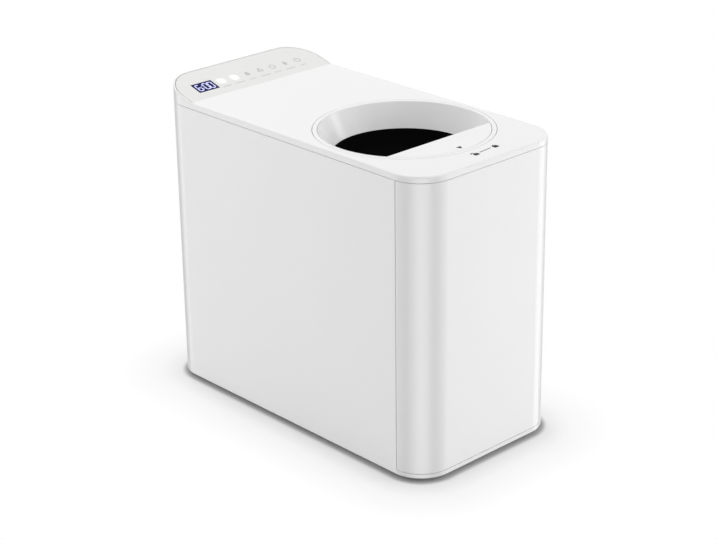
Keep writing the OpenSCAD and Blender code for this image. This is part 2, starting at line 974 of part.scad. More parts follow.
module insulation_jacket() {
    color([0.8, 0.78, 0.7])
    difference() {
        at_lid()
            translate([0, 0, well_floor_z])
                ring(jacket_r, well_out_r + 0.2, flange_top - flange_t - 0.2 - well_floor_z);
        port_cut(lid_y + well_r - 10, lid_y + jacket_r + 5, thin + 0.3);
    }
}

module heater_plate() {
    color(grey)
    at_lid()
        translate([0, 0, well_floor_z - heater_t])
            ring(well_r - 10, output_shaft_r + 12, heater_t);
}

module heating_element() {
    color([0.4, 0.4, 0.42])
    at_lid()
        translate([0, 0, well_floor_z - heater_t - element_r])
            rotate([0, 0, 100])
                rotate_extrude(angle = 340)
                    translate([(well_r - 10) * 0.7, 0])
                        circle(r = element_r, $fn = 32);
}

module shaft_seal() {
    color(dark)
    at_lid()
        translate([0, 0, well_floor_z - 2])
            ring(output_shaft_r + 5 - press, output_shaft_r + fit, well_floor_t + 2.2);
}

leg_w = 12;
deck_r = well_out_r + 3;
leg_set = deck_r * cos(45) - 1.1;
module well_stand() {
    color(grey)
    at_lid() {
        translate([0, 0, deck_z])
            ring(deck_r, output_shaft_r + 2, deck_t);
        for (sx = [-1, 1], sy = [-1, 1])
            translate([sx * leg_set - leg_w / 2, sy * leg_set - leg_w / 2, tray_z])
                cube([leg_w, leg_w, deck_z - tray_z + tiny]);
    }
}

// ---- Bucket ----

module bucket() {
    color([0.3, 0.3, 0.31])
    at_lid()
    difference() {
        union() {
            difference() {
                union() {
                    translate([0, 0, bucket_z])
                        cylinder(r = bucket_r, h = rim_top - bucket_z);
                    translate([0, 0, rim_top - rim_h])
                        cylinder(r = rim_r, h = rim_h);
                }
                translate([0, 0, bucket_in_z])
                    cylinder(r = bucket_in_r, h = rim_top);
            }
            translate([0, 0, bucket_z - stand_h])
                ring(bucket_r - 6, bucket_r - 8, stand_h + tiny);
            for (s = [0, 180])
                rotate([0, 0, s])
                    intersection() {
                        translate([ear_x, 0, bail_z])
                            rotate([0, 90, 0])
                                ear_outline();
                        cylinder(r = bucket_r - tiny, h = top_z);
                    }
        }
        for (s = [0, 180])
            rotate([0, 0, s])
                translate([ear_x - 1, 0, bail_z])
                    rotate([0, 90, 0])
                        cylinder(r = bail_pin_r + fit, h = ear_t + 8);
        translate([0, 0, bucket_z - 1])
            cylinder(r = agitator_shaft_r + 3 + press, h = bucket_floor_t + 2);
    }
}

module ear_outline() {
    cylinder(r = ear_r, h = ear_t);
    translate([0, -ear_r, 0])
        cube([12, 2 * ear_r, ear_t]);
}

// Wire bail: its pins turn in the bucket's ears, and it lies on the rim at rest
module bucket_handle() {
    color([0.8, 0.8, 0.82])
    at_lid()
        translate([0, 0, bail_z]) {
            rotate([0, 0, -0.5])
                rotate_extrude(angle = 181)
                    translate([bail_path_r, 0])
                        circle(r = bail_r);
            for (s = [0, 180])
                rotate([0, 0, s])
                    translate([ear_x, 0, 0])
                        rotate([0, 90, 0])
                            cylinder(r = bail_pin_r, h = bail_path_r - ear_x);
        }
}

module fixed_blades() {
    color([0.7, 0.71, 0.73])
    at_lid()
        for (a = [45, 225])
            rotate([0, 0, a])
                intersection() {
                    translate([bucket_in_r - blade_l, -5, blade_z])
                        cube([blade_l, 10, blade_h]);
                    cylinder(r = bucket_in_r - 0.05, h = top_z);
                }
}

module agitator() {
    color([0.6, 0.61, 0.63])
    at_lid()
    difference() {
        union() {
            translate([0, 0, agitator_z])
                cylinder(r = hub_r, h = hub_top - agitator_z);
            for (s = [0, 180])
                rotate([0, 0, s]) {
                    translate([0, -arm_w / 2, agitator_z])
                        intersection() {
                            cube([arm_r, arm_w, arm_h]);
                            translate([0, arm_w / 2, 0])
                                cylinder(r = arm_r, h = arm_h);
                        }
                    translate([arm_r - 13, -2.5, agitator_z + arm_h - tiny])
                        cube([10, 5, tooth_h]);
                    rotate([0, 0, 90])
                        translate([0, -arm_w / 2, upper_arm_z])
                            cube([arm_r - 8, arm_w, arm_h]);
                }
        }
        translate([0, 0, agitator_z - 1])
            cylinder(r = agitator_shaft_r + press, h = hub_top);
    }
}

module agitator_shaft() {
    color([0.7, 0.71, 0.73])
    at_lid()
    difference() {
        union() {
            translate([0, 0, dog_base + 0.4])
                cylinder(r = dog_hub_r, h = dog_hub_top - dog_base - 0.4);
            translate([0, 0, dog_hub_top - tiny])
                cylinder(r = agitator_shaft_r, h = hub_top - dog_hub_top);
        }
        translate([0, 0, dog_base - 1])
            cylinder(r = dog_r + 0.4, h = dog_top - dog_base + 1 + 0.4, $fn = 6);
    }
}

module agitator_nut() {
    color([0.7, 0.71, 0.73])
    at_lid()
        translate([0, 0, hub_top])
            cylinder(r = hub_r - 3, h = 5, $fn = 6);
}

module agitator_bush() {
    color([0.72, 0.55, 0.3])
    at_lid() {
        translate([0, 0, bucket_z])
            ring(agitator_shaft_r + 3, agitator_shaft_r + fit, bucket_floor_t);
        translate([0, 0, bucket_in_z])
            ring(agitator_shaft_r + 5, agitator_shaft_r + fit, 1.2);
    }
}

// ---- Gear train ----

// Involute profile: flank points from the base circle out to the tip
pressure = 20;
function inv(a) = tan(a) * 180 / PI - a;
function flank(m, z, r, side) =
    let (rb = m * z * cos(pressure) / 2,
         a = r > rb ? acos(rb / r) : 0,
         half = 90 / z + inv(pressure) - inv(a) - backlash / (m * z) * 180 / PI)
    [r * cos(side * half), r * sin(side * half)];
function tooth(m, z) =
    let (rp = m * z / 2,
         root = rp - 1.25 * m,
         tip = rp + 0.95 * m,
         rb = rp * cos(pressure),
         start = max(root, rb),
         radii = [for (i = [0 : 5]) start + (tip - start) * i / 5])
    concat(root < rb ? [let (p = flank(m, z, rb, -1)) p * root / norm(p)] : [],
        [for (r = radii) flank(m, z, r, -1)],
        [for (i = [5 : -1 : 0]) flank(m, z, radii[i], 1)],
        root < rb ? [let (p = flank(m, z, rb, 1)) p * root / norm(p)] : []);
function turned(p, a) = [p[0] * cos(a) - p[1] * sin(a), p[0] * sin(a) + p[1] * cos(a)];

// A toothed wheel with a tooth, or a gap, in the +X direction
module gear_2d(m, z) {
    polygon([for (k = [0 : z - 1]) for (p = tooth(m, z)) turned(p, 360 * k / z)]);
}

module gear(m, z, h, turn) {
    rotate([0, 0, turn])
        linear_extrude(h)
            gear_2d(m, z);
}

module at_gear(y, z) {
    translate([0, y, z])
        children();
}

module output_gear() {
    color([0.85, 0.83, 0.75])
    difference() {
        union() {
            at_gear(y_out, plane_1)
                gear(m_out, z_out, gear_w, 90);
            at_gear(y_out, plane_1 - 1)
                cylinder(r = output_shaft_r + 7, h = gear_w + 6);
        }
        at_gear(y_out, plane_1 - 2)
            cylinder(r = output_shaft_r + press, h = gear_w + 10);
    }
}

module output_shaft() {
    color([0.7, 0.71, 0.73])
    at_lid() {
        translate([0, 0, box_z + 0.8])
            cylinder(r = output_shaft_r, h = dog_base - box_z - 0.8);
        translate([0, 0, dog_base - tiny])
            cylinder(r = dog_r, h = dog_top - dog_base, $fn = 6);
    }
}

module output_bearings() {
    color(grey)
    at_lid() {
        translate([0, 0, box_z + 0.5])
            ring(bearing_r, output_shaft_r + fit, bearing_h);
        translate([0, 0, box_top + 0.2])
            ring(bearing_r, output_shaft_r + fit, bearing_h);
    }
}

module idler_gear_a() {
    color([0.9, 0.88, 0.8])
    difference() {
        union() {
            at_gear(y_a, plane_1 - 1)
                gear(m_out, z_pin, plane_2 - plane_1 + 1 + tiny, -90 + 180 / z_pin);
            at_gear(y_a, plane_2)
                gear(m_mid, z_mid, wheel_w, 90);
        }
        at_gear(y_a, plane_1 - 2)
            cylinder(r = axle_r + fit, h = plane_2 + wheel_w - plane_1 + 4);
    }
}

module idler_gear_b() {
    color([0.9, 0.88, 0.8])
    difference() {
        union() {
            at_gear(y_b, plane_2 - 1)
                gear(m_mid, z_pin, plane_3 - plane_2 + 1 + tiny, -90 + 180 / z_pin);
            at_gear(y_b, plane_3)
                gear(m_in, z_in, thin_w, 90);
        }
        at_gear(y_b, plane_2 - 2)
            cylinder(r = axle_r + fit, h = plane_3 + thin_w - plane_2 + 4);
    }
}

module idler_axles() {
    color([0.7, 0.71, 0.73])
    for (y = [y_a, y_b])
        at_gear(y, box_z + 1.5)
            cylinder(r = axle_r, h = box_top - box_z + 1);
}

module motor_pinion() {
    color([0.72, 0.55, 0.3])
    difference() {
        at_gear(y_m, plane_3 - 1)
            gear(m_in, z_motor, thin_w + 2, -90 + 180 / z_motor);
        at_gear(y_m, plane_3 - 2)
            cylinder(r = motor_shaft_r + press, h = thin_w + 5);
    }
}

module motor_shaft() {
    color([0.7, 0.71, 0.73])
    at_gear(y_m, plane_3 - 1)
        cylinder(r = motor_shaft_r, h = cover_top - plane_3 + 1 + 12);
}

module motor() {
    color([0.35, 0.36, 0.38])
    difference() {
        union() {
            at_gear(y_m, cover_top)
                cylinder(r = motor_r, h = motor_h);
            at_gear(y_m, cover_top + motor_h - tiny)
                cylinder(r = 9, h = 5);
        }
        at_gear(y_m, cover_top - 1)
            cylinder(r = motor_shaft_r + fit, h = 14);
    }
}

module gearbox_outline(inset) {
    translate([0, lid_y])
        circle(r = box_round_r - inset);
    translate([-box_half_w + inset, lid_y])
        square([2 * (box_half_w - inset), box_rear_y - inset - lid_y]);
}

module gearbox_base() {
    color(grey)
    difference() {
        union() {
            translate([0, 0, box_z])
                linear_extrude(box_t)
                    gearbox_outline(0);
            translate([0, 0, box_z])
                linear_extrude(box_top - box_z)
                    difference() {
                        gearbox_outline(0);
                        gearbox_outline(box_t);
                    }
            at_lid()
                translate([0, 0, box_z])
                    cylinder(r = bearing_r + 3, h = bearing_h + 0.5);
            for (y = [y_a, y_b])
                at_gear(y, box_z)
                    cylinder(r = axle_r + 3, h = y == y_a ? plane_1 - 1.4 - box_z : plane_2 - 1.4 - box_z);
        }
        at_lid()
            translate([0, 0, box_z + 0.5])
                cylinder(r = bearing_r + press, h = 10);
        for (y = [y_a, y_b])
            at_gear(y, box_z + 1.5)
                cylinder(r = axle_r + press, h = box_top);
    }
}

module gearbox_cover() {
    color(grey)
    difference() {
        union() {
            translate([0, 0, box_top])
                linear_extrude(box_t)
                    gearbox_outline(0);
            at_lid()
                translate([0, 0, box_top])
                    cylinder(r = bearing_r + 3, h = bearing_h + 1);
        }
        at_lid() {
            translate([0, 0, box_top - 1])
                cylinder(r = output_shaft_r + 1, h = 10);
            translate([0, 0, box_top - 1])
                cylinder(r = bearing_r + press, h = 1 + bearing_h + 0.2);
        }
        for (y = [y_a, y_b])
            at_gear(y, box_top - 1)
                cylinder(r = axle_r + press, h = 1 + 2.6);
        at_gear(y_m, box_top - 1)
            cylinder(r = m_in * z_motor / 2 + 2.5, h = box_t + 2);
    }
}

// ---- Air path ----

module exhaust_duct() {
    color(grey)
    difference() {
        box(-duct_w / 2 - thin, duct_w / 2 + thin, lid_y + well_out_r + 0.3, blower_y + 24,
            duct_z, port_z + duct_h + thin);
        box(-duct_w / 2, duct_w / 2, lid_y + well_out_r - 1, blower_y + 24 - thin, port_z,
            port_z + duct_h);
        translate([0, blower_y, duct_z - 1])
            cylinder(r = eye_r, h = thin + 2);
        at_lid()
            translate([0, 0, duct_z - 1])
                cylinder(r = well_out_r + 0.3, h = 60);
    }
}

module blower_outlet(grow) {
    box(2 - grow, outlet_w + grow, blower_y, housing_y, blower_z + 3 - grow,
        blower_z + blower_h - 3 + grow);
}

module blower_housing() {
    color(dark)
    difference() {
        union() {
            translate([0, blower_y, blower_z])
                cylinder(r = blower_r, h = blower_h);
            blower_outlet(thin);
        }
        translate([0, blower_y, blower_z + thin])
            cylinder(r = blower_r - thin, h = blower_h - 2 * thin);
        translate([0, blower_y, blower_z - 1])
            cylinder(r = 3, h = 10);
        translate([0, blower_y, blower_z + 10])
            cylinder(r = eye_r, h = blower_h);
        translate([0, 1, 0])
            blower_outlet(0);
    }
}

module impeller() {
    color(grey)
    translate([0, blower_y, blower_z + thin + 2]) {
        cylinder(r = impeller_r, h = 1.5);
        cylinder(r = 9, h = 12);
        for (k = [0 : impeller_blades - 1])
            rotate([0, 0, 360 * k / impeller_blades])
                translate([impeller_r - 8, -0.6, 1])
                    cube([7.6, 1.2, blower_h - 2 * thin - 6]);
        translate([0, 0, -thin - 8])
            cylinder(r = fan_shaft_r, h = thin + 9);
    }
}

module blower_motor() {
    color([0.35, 0.36, 0.38])
    translate([0, blower_y, blower_z - 18])
    difference() {
        cylinder(r = 15, h = 18);
        translate([0, 0, 8])
            cylinder(r = fan_shaft_r + fit, h = 20);
    }
}

module filter_housing() {
    color(grey)
    difference() {
        box(-drawer_w / 2 - thin - 0.5, drawer_w / 2 + thin + 0.5, housing_y, inner_wall_y,
            housing_z, housing_z + drawer_h);
        box(-drawer_w / 2 - 0.5, drawer_w / 2 + 0.5, housing_y + thin, inner_wall_y + 1,
            housing_z + thin, housing_z + drawer_h - thin);
        translate([0, 2 * thin, 0])
            blower_outlet(0);
    }
}

recess_w = 50;
recess_h = 13;
recess_d = 9;
recess_z = drawer_top - 8 - recess_h;
module filter_drawer() {
    color(white)
    difference() {
        union() {
            box(-drawer_w / 2, drawer_w / 2, inner_wall_y - 1.5, rear_y, drawer_z,
                drawer_top);
            box(-drawer_w / 2, drawer_w / 2, inner_wall_y - drawer_d, inner_wall_y, drawer_z,
                drawer_z + thin);
            for (s = [0, 1])
                box(s == 0 ? -drawer_w / 2 : drawer_w / 2 - thin,
                    s == 0 ? -drawer_w / 2 + thin : drawer_w / 2, inner_wall_y - drawer_d,
                    inner_wall_y, drawer_z, drawer_top);
            box(-recess_w / 2 - thin, recess_w / 2 + thin, rear_y - recess_d - thin, rear_y,
                recess_z - thin, recess_z + recess_h + thin);
        }
        box(-recess_w / 2, recess_w / 2, rear_y - recess_d, rear_y + 1, recess_z,
            recess_z + recess_h);
        for (i = [0 : 9])
            box(-40.5 + 9 * i - 1.5, -40.5 + 9 * i + 1.5, rear_y - recess_d + 2, rear_y + 1,
                drawer_z + 12, recess_z - 10);
    }
}

module carbon_cartridge() {
    color(dark)
    box(-drawer_w / 2 + thin + 0.3, drawer_w / 2 - thin - 0.3, inner_wall_y - drawer_d + 1,
        rear_y - recess_d - thin - 0.5, drawer_z + thin, drawer_top - 2.2);
}

// ---- Power ----

power_board_z = tray_z + 6;
board_t = 1.6;
board_rear_y = inner_wall_y - 27;
function board_y(end) =
    board_rear_y - board_leg_set - (1 - end) * (power_board_l - 2 * board_leg_set);

module power_board() {
    color([0.1, 0.35, 0.2])
    box(-power_board_w / 2, power_board_w / 2, board_rear_y - power_board_l, board_rear_y,
        power_board_z, power_board_z + board_t);
}

module power_components() {
    color(dark) {
        z = power_board_z + board_t;
        y = board_rear_y - power_board_l;
        box(-30, 8, y + 8, y + 42, z, z + 30);
        translate([25, y + 20, z])
            cylinder(r = 9, h = 28);
        translate([48, y + 20, z])
            cylinder(r = 9, h = 28);
        box(20, 39, y + 40, y + 56, z, z + 16);
        box(44, 63, y + 40, y + 56, z, z + 16);
        box(-62, -40, y + 10, y + 40, z, z + 14);
    }
}

// Three-pin mains inlet, flush in the rear wall
module mains_inlet() {
    color(dark)
    translate([-inlet_x, rear_y, bottom_z + inlet_z]) {
        difference() {
            box(slip - inlet_w / 2, inlet_w / 2 - slip, -24, -0.3, slip - inlet_h / 2,
                inlet_h / 2 - slip);
            box(-12.2, 12.2, -18, 1, -8.3, 8.3);
        }
        for (p = [[-7, -2.5], [0, 3], [7, -2.5]])
            box(p[0] - 1, p[0] + 1, -18 - tiny, -3, p[1] - 2, p[1] + 2);
        for (x = [-6, 0, 6])
            box(x - 1, x + 1, -31, -24 + tiny, -3, 3);
    }
}

base_tray();
rubber_feet();
main_shell();
front_panel();
top_cover();
lock_markings();
control_panel();
display_window();
display_digits();
key_lights();
key_icons();
key_legends();
display_board();
display_module();
touch_pillars();
lid_ring();
lid_dish();
lid_window();
lid_arrow();
lid_magnet();
lid_sensor();
lid_seal_plate();
lid_gasket();
heated_well();
insulation_jacket();
heater_plate();
heating_element();
shaft_seal();
well_stand();
bucket();
bucket_handle();
fixed_blades();
agitator();
agitator_shaft();
agitator_nut();
agitator_bush();
gearbox_base();
gearbox_cover();
output_gear();
output_shaft();
output_bearings();
idler_gear_a();
idler_gear_b();
idler_axles();
motor_pinion();
motor_shaft();
motor();
exhaust_duct();
blower_housing();
impeller();
blower_motor();
filter_housing();
filter_drawer();
carbon_cartridge();
power_board();
power_components();
mains_inlet();
case_screws();
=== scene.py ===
"""Looks of the electric food waste composter: camera, light, floor, finishes and detailed pieces."""
import json
import math

import bmesh
import bpy
from mathutils import Matrix, Vector


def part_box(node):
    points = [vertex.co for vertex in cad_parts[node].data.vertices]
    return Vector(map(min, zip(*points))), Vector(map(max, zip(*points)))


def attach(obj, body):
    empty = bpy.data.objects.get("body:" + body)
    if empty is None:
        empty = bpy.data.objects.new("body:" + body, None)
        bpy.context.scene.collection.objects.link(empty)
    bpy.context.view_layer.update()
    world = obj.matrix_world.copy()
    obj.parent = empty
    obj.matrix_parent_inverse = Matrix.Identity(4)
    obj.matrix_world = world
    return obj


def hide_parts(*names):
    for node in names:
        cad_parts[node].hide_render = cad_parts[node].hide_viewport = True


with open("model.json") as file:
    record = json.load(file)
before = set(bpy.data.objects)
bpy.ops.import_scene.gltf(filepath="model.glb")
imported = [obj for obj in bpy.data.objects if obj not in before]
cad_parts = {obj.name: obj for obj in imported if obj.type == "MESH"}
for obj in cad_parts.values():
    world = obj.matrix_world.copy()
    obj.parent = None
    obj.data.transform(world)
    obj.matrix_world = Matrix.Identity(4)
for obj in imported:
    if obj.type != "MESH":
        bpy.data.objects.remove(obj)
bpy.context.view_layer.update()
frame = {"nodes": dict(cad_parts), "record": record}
NODES = frame["nodes"]
MM = 0.001

# ---- Places taken from the frame ----
SHELL_LOW, SHELL_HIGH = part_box("main_shell")
PANEL_LOW, PANEL_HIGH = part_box("control_panel")
FRONT_LOW, FRONT_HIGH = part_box("front_panel")
RING_LOW, RING_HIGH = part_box("lid_ring")
WINDOW_LOW, WINDOW_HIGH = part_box("lid_window")
DRAWER_LOW, DRAWER_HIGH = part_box("filter_drawer")
INLET_LOW, INLET_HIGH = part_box("mains_inlet")
DISPLAY_LOW, DISPLAY_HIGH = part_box("display_window")
KEYS_LOW, KEYS_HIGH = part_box("key_lights")
_, SCREWS_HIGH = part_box("case_screws")
MARKS_LOW, MARKS_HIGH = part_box("lock_markings")
ARROW_LOW, ARROW_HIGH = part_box("lid_arrow")
_, WELL_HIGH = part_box("heated_well")
HALF_W = SHELL_HIGH.x
HALF_D = SHELL_HIGH.y
BODY_Z = SHELL_LOW.z
TOP_Z = RING_HIGH.z
FLAT_H = TOP_Z - BODY_Z
CREASE_Y = PANEL_LOW.y
SLOPE = math.atan2(PANEL_HIGH.z - TOP_Z, PANEL_HIGH.y - CREASE_Y)
LID_Y = (RING_LOW.y + RING_HIGH.y) / 2
LID_R = RING_HIGH.x
WINDOW_R = WINDOW_HIGH.x
FLANGE_Z = WELL_HIGH.z
BODIES = frame["record"]["behaviour"]["bodies"]
BODY_OF = {node: body for body, nodes in BODIES.items() for node in nodes}
SLOT_OF = {row["node"]: row["material_slot"] for row in frame["record"]["subparts"]}

# ---- Sizes that the frame's boxes don't give; FAR is past every piece ----
CORNER_R = 37 * MM
WALL = 2.5 * MM
SEAM = 0.5 * MM
COVER_Z = SHELL_HIGH.z + SEAM
COVER_EDGE_R = 2 * MM
PANEL_INSET = HALF_D - PANEL_HIGH.y
PANEL_T = 2 * MM
PANEL_GAP = 0.9 * MM
LIP = 1.6 * MM
LIP_DEPTH = 6 * MM
LIP_END = 8 * MM
LIP_OVERLAP = 0.4 * MM
HOLE_R = LID_R + 0.3 * MM
RING_W = 5.2 * MM
RING_H = 3.2 * MM
LINE_GAP = 0.28 * MM
COLLAR_T = 2.7 * MM
LEDGE_T = 3 * MM
LUG_ANGLE = 12
FIRST_LUG = 45
LUG_COUNT = 4
LUG_GAP = 0.3 * MM
LUG_REACH = 2.6 * MM
SKIRT_T = 2 * MM
SKIRT_R = LID_R - RING_W + 0.5 * MM + SKIRT_T
GRIP_SET = 48.9 * MM
GRIP_T = 2.6 * MM
DISH_T = 2.2 * MM
DISH_RIM_W = 0.8 * MM
DISH_TOP_R = LID_R - RING_W - DISH_RIM_W
GLASS_R = WINDOW_R + 0.7 * MM
DISH_FLOOR_R = GLASS_R + 0.1 * MM
WINDOW_LEDGE = 6.6 * MM
SLIP = 0.15 * MM
DISPLAY_SET = 12.3 * MM
DISPLAY_L = 17.3 * MM
KEY_SET = 22.7 * MM
KEY_R = 4 * MM
LEGEND_SET = 11.7 * MM
KEY_COUNT = 7
LIT_KEYS = 2
LEGEND_WIDTHS = (11, 13, 9, 14, 10, 14, 8)
BOSS_R = 4.5 * MM
BOSS_H = 24 * MM
SCREW_HEAD_R = 3 * MM
GLOW_REACH = 3.5 * MM
GLOW_LEVEL = 0.14
FAR = 1.0
PANEL_TURN = Matrix.Translation((0, CREASE_Y, TOP_Z)) @ Matrix.Rotation(SLOPE, 4, "X")


def key_places():
    first = KEYS_LOW.x + KEY_R - SLIP
    pitch = KEYS_HIGH.x - KEYS_LOW.x - 2 * (KEY_R - SLIP)
    return [first + pitch * k for k in range(KEY_COUNT)]


# Camera fitted to the cabinet's edges: azimuth, elevation and roll in degrees, and its place from
# the cabinet's bottom edge, in heights of the flat top. The focal length is in pixels of the photograph.
CAMERA_ANGLES = (-42.974, 22.946, -0.8005)
CAMERA_PLACE = (-4.0056, -4.3054, 2.9387)
FOCAL_LENGTH = 1922.92
PHOTO_W = 716
SENSOR_W = 36


def make_camera():
    azimuth, elevation, roll = (math.radians(a) for a in CAMERA_ANGLES)
    place = Vector(CAMERA_PLACE) * FLAT_H + Vector((0, 0, BODY_Z))
    back = Vector(
        (
            math.sin(azimuth) * math.cos(elevation),
            -math.cos(azimuth) * math.cos(elevation),
            math.sin(elevation),
        )
    )
    flat_right = Vector((math.cos(azimuth), math.sin(azimuth), 0))
    flat_up = back.cross(flat_right)
    right = flat_right * math.cos(roll) + flat_up * math.sin(roll)
    up = flat_up * math.cos(roll) - flat_right * math.sin(roll)
    data = bpy.data.cameras.new("camera")
    data.sensor_width = SENSOR_W
    data.lens = FOCAL_LENGTH / PHOTO_W * SENSOR_W
    data.clip_end = 50
    camera = bpy.data.objects.new("camera", data)
    bpy.context.scene.collection.objects.link(camera)
    turn = Matrix((right, up, back)).transposed().to_4x4()
    camera.matrix_world = Matrix.Translation(place) @ turn
    bpy.context.scene.camera = camera


make_camera()

# ---- Material helpers ----


def new_material(name, color, roughness, **inputs):
    material = bpy.data.materials.new(name)
    material.use_nodes = True
    shader = material.node_tree.nodes["Principled BSDF"]
    shader.inputs["Base Color"].default_value = (*color, 1)
    shader.inputs["Roughness"].default_value = roughness
    for key, value in inputs.items():
        shader.inputs[key.replace("_", " ")].default_value = value
    return material, shader


def add(material, kind, **values):
    node = material.node_tree.nodes.new(kind)
    for key, value in values.items():
        if key in node.inputs:
            node.inputs[key].default_value = value
        else:
            setattr(node, key, value)
    return node


def link(material, a, b):
    material.node_tree.links.new(a, b)


def object_place(material, stretch=(1, 1, 1)):
    place = add(material, "ShaderNodeTexCoord")
    mapping = add(material, "ShaderNodeMapping", Scale=stretch)
    link(material, place.outputs["Object"], mapping.inputs["Vector"])
    return mapping.outputs["Vector"]


def noise_at(material, scale, detail=3.0, stretch=(1, 1, 1)):
    noise = add(material, "ShaderNodeTexNoise", Scale=scale, Detail=detail)
    link(material, object_place(material, stretch), noise.inputs["Vector"])
    return noise.outputs["Fac"]


def cells_at(material, scale, stretch=(1, 1, 1)):
    cells = add(material, "ShaderNodeTexVoronoi", Scale=scale)
    link(material, object_place(material, stretch), cells.inputs["Vector"])
    return cells.outputs["Distance"]


def tint(material, shader, pattern, low, high, start=0.3, stop=0.7):
    """The colour wanders between two tones, led by a pattern."""
    ramp = add(material, "ShaderNodeValToRGB")
    ramp.color_ramp.elements[0].position = start
    ramp.color_ramp.elements[1].position = stop
    ramp.color_ramp.elements[0].color = (*low, 1)
    ramp.color_ramp.elements[1].color = (*high, 1)
    link(material, pattern, ramp.inputs["Fac"])
    link(material, ramp.outputs["Color"], shader.inputs["Base Color"])


def roughen(material, shader, pattern, low, high):
    spread = add(material, "ShaderNodeMapRange")
    spread.inputs["To Min"].default_value = low
    spread.inputs["To Max"].default_value = high
    link(material, pattern, spread.inputs["Value"])
    link(material, spread.outputs["Result"], shader.inputs["Roughness"])


def bump(material, shader, pattern, strength, distance):
    node = add(material, "ShaderNodeBump", Strength=strength, Distance=distance)
    link(material, pattern, node.inputs["Height"])
    link(material, node.outputs["Normal"], shader.inputs["Normal"])


def shades(tone, low, high):
    return tuple(min(1, c * low) for c in tone), tuple(min(1, c * high) for c in tone)


# ---- Materials, one for each slot of the record ----


def moulded(name, tone, roughness, grain=2600.0, strength=0.04, spread=0.012, **inputs):
    """Moulded plastic: a faint mottle, an uneven gloss and a fine grain."""
    material, shader = new_material(name, tone, roughness, **inputs)
    low, high = shades(tone, 1 - spread, 1 + spread)
    tint(material, shader, noise_at(material, 9.0), low, high)
    roughen(material, shader, noise_at(material, 60.0), roughness * 0.92, roughness * 1.08)
    bump(material, shader, noise_at(material, grain, 2.0), strength, 0.06 * MM)
    return material


def metal(name, tone, roughness, stretch=(1, 1, 60), scale=40.0, strength=0.15, spread=0.06):
    """Drawn, turned or brushed metal: streaks in the colour, the gloss and the surface."""
    material, shader = new_material(name, tone, roughness, Metallic=1.0)
    streaks = noise_at(material, scale, 4.0, stretch)
    low, high = shades(tone, 1 - spread, 1 + spread)
    tint(material, shader, streaks, low, high)
    roughen(material, shader, streaks, roughness * 0.8, roughness * 1.25)
    bump(material, shader, streaks, strength, 0.05 * MM)
    return material


def grained(name, tone, roughness, scale, strength, depth, metallic=0.0, spread=0.3):
    """Granules, felt, cast skin or speckle, from cells and noise."""
    material, shader = new_material(name, tone, roughness, Metallic=metallic)
    cells = cells_at(material, scale)
    low, high = shades(tone, 1 - spread, 1 + spread)
    tint(material, shader, cells, high, low, 0.1, 0.8)
    uneven = noise_at(material, scale * 0.4)
    roughen(material, shader, uneven, roughness * 0.85, min(1, roughness * 1.15))
    bump(material, shader, cells, strength, depth)
    return material


def lit(name, tone, glow, strength):
    """A lit field: a pale lens whose glow varies faintly from place to place."""
    material, shader = new_material(name, tone, 0.3, Emission_Strength=strength)
    low, high = shades(glow, 0.94, 1.0)
    ramp = add(material, "ShaderNodeValToRGB")
    ramp.color_ramp.elements[0].color = (*low, 1)
    ramp.color_ramp.elements[1].color = (*high, 1)
    link(material, noise_at(material, 300.0), ramp.inputs["Fac"])
    link(material, ramp.outputs["Color"], shader.inputs["Emission Color"])
    return material


def panel_material():
    """Satin white plate that glows faintly round the two lit keys."""
    tone = (0.8, 0.8, 0.79)
    material = moulded("panel_white", tone, 0.36, grain=3200.0, spread=0.004, Emission_Strength=1.0)
    shader = material.node_tree.nodes["Principled BSDF"]
    place = object_place(material)
    glow = add(material, "ShaderNodeMath", operation="ADD")
    for socket, x in zip(glow.inputs, key_places()[:LIT_KEYS]):
        away = add(material, "ShaderNodeVectorMath", operation="DISTANCE")
        away.inputs[1].default_value = PANEL_TURN @ Vector((x, KEY_SET, 0))
        fade = add(material, "ShaderNodeMapRange", interpolation_type="SMOOTHSTEP")
        fade.inputs["From Min"].default_value = KEY_R
        fade.inputs["From Max"].default_value = KEY_R + GLOW_REACH
        fade.inputs["To Min"].default_value = GLOW_LEVEL
        fade.inputs["To Max"].default_value = 0
        link(material, place, away.inputs[0])
        link(material, away.outputs["Value"], fade.inputs["Value"])
        link(material, fade.outputs["Result"], socket)
    link(material, glow.outputs["Value"], shader.inputs["Emission Color"])
    return material


def circuit_board_material():
    """Green solder mask with paler copper tracks under it."""
    material, shader = new_material("circuit_board", (0.012, 0.09, 0.035), 0.35)
    tracks = add(
        material,
        "ShaderNodeTexBrick",
        Scale=90.0,
        Color1=(0.012, 0.085, 0.032, 1),
        Color2=(0.016, 0.11, 0.042, 1),
        Mortar=(0.05, 0.2, 0.08, 1),
    )
    tracks.inputs["Mortar Size"].default_value = 0.06
    link(material, object_place(material), tracks.inputs["Vector"])
    link(material, tracks.outputs["Color"], shader.inputs["Base Color"])
    bump(material, shader, tracks.outputs["Fac"], 0.2, 0.05 * MM)
    return material


def element_material():
    """Steel tube of the heater, tinted straw and blue by heat."""
    material, shader = new_material("element_steel", (0.2, 0.18, 0.17), 0.42, Metallic=1.0)
    tint(material, shader, noise_at(material, 55.0), (0.24, 0.16, 0.1), (0.12, 0.13, 0.18))
    bump(material, shader, noise_at(material, 900.0), 0.2, 0.05 * MM)
    return material


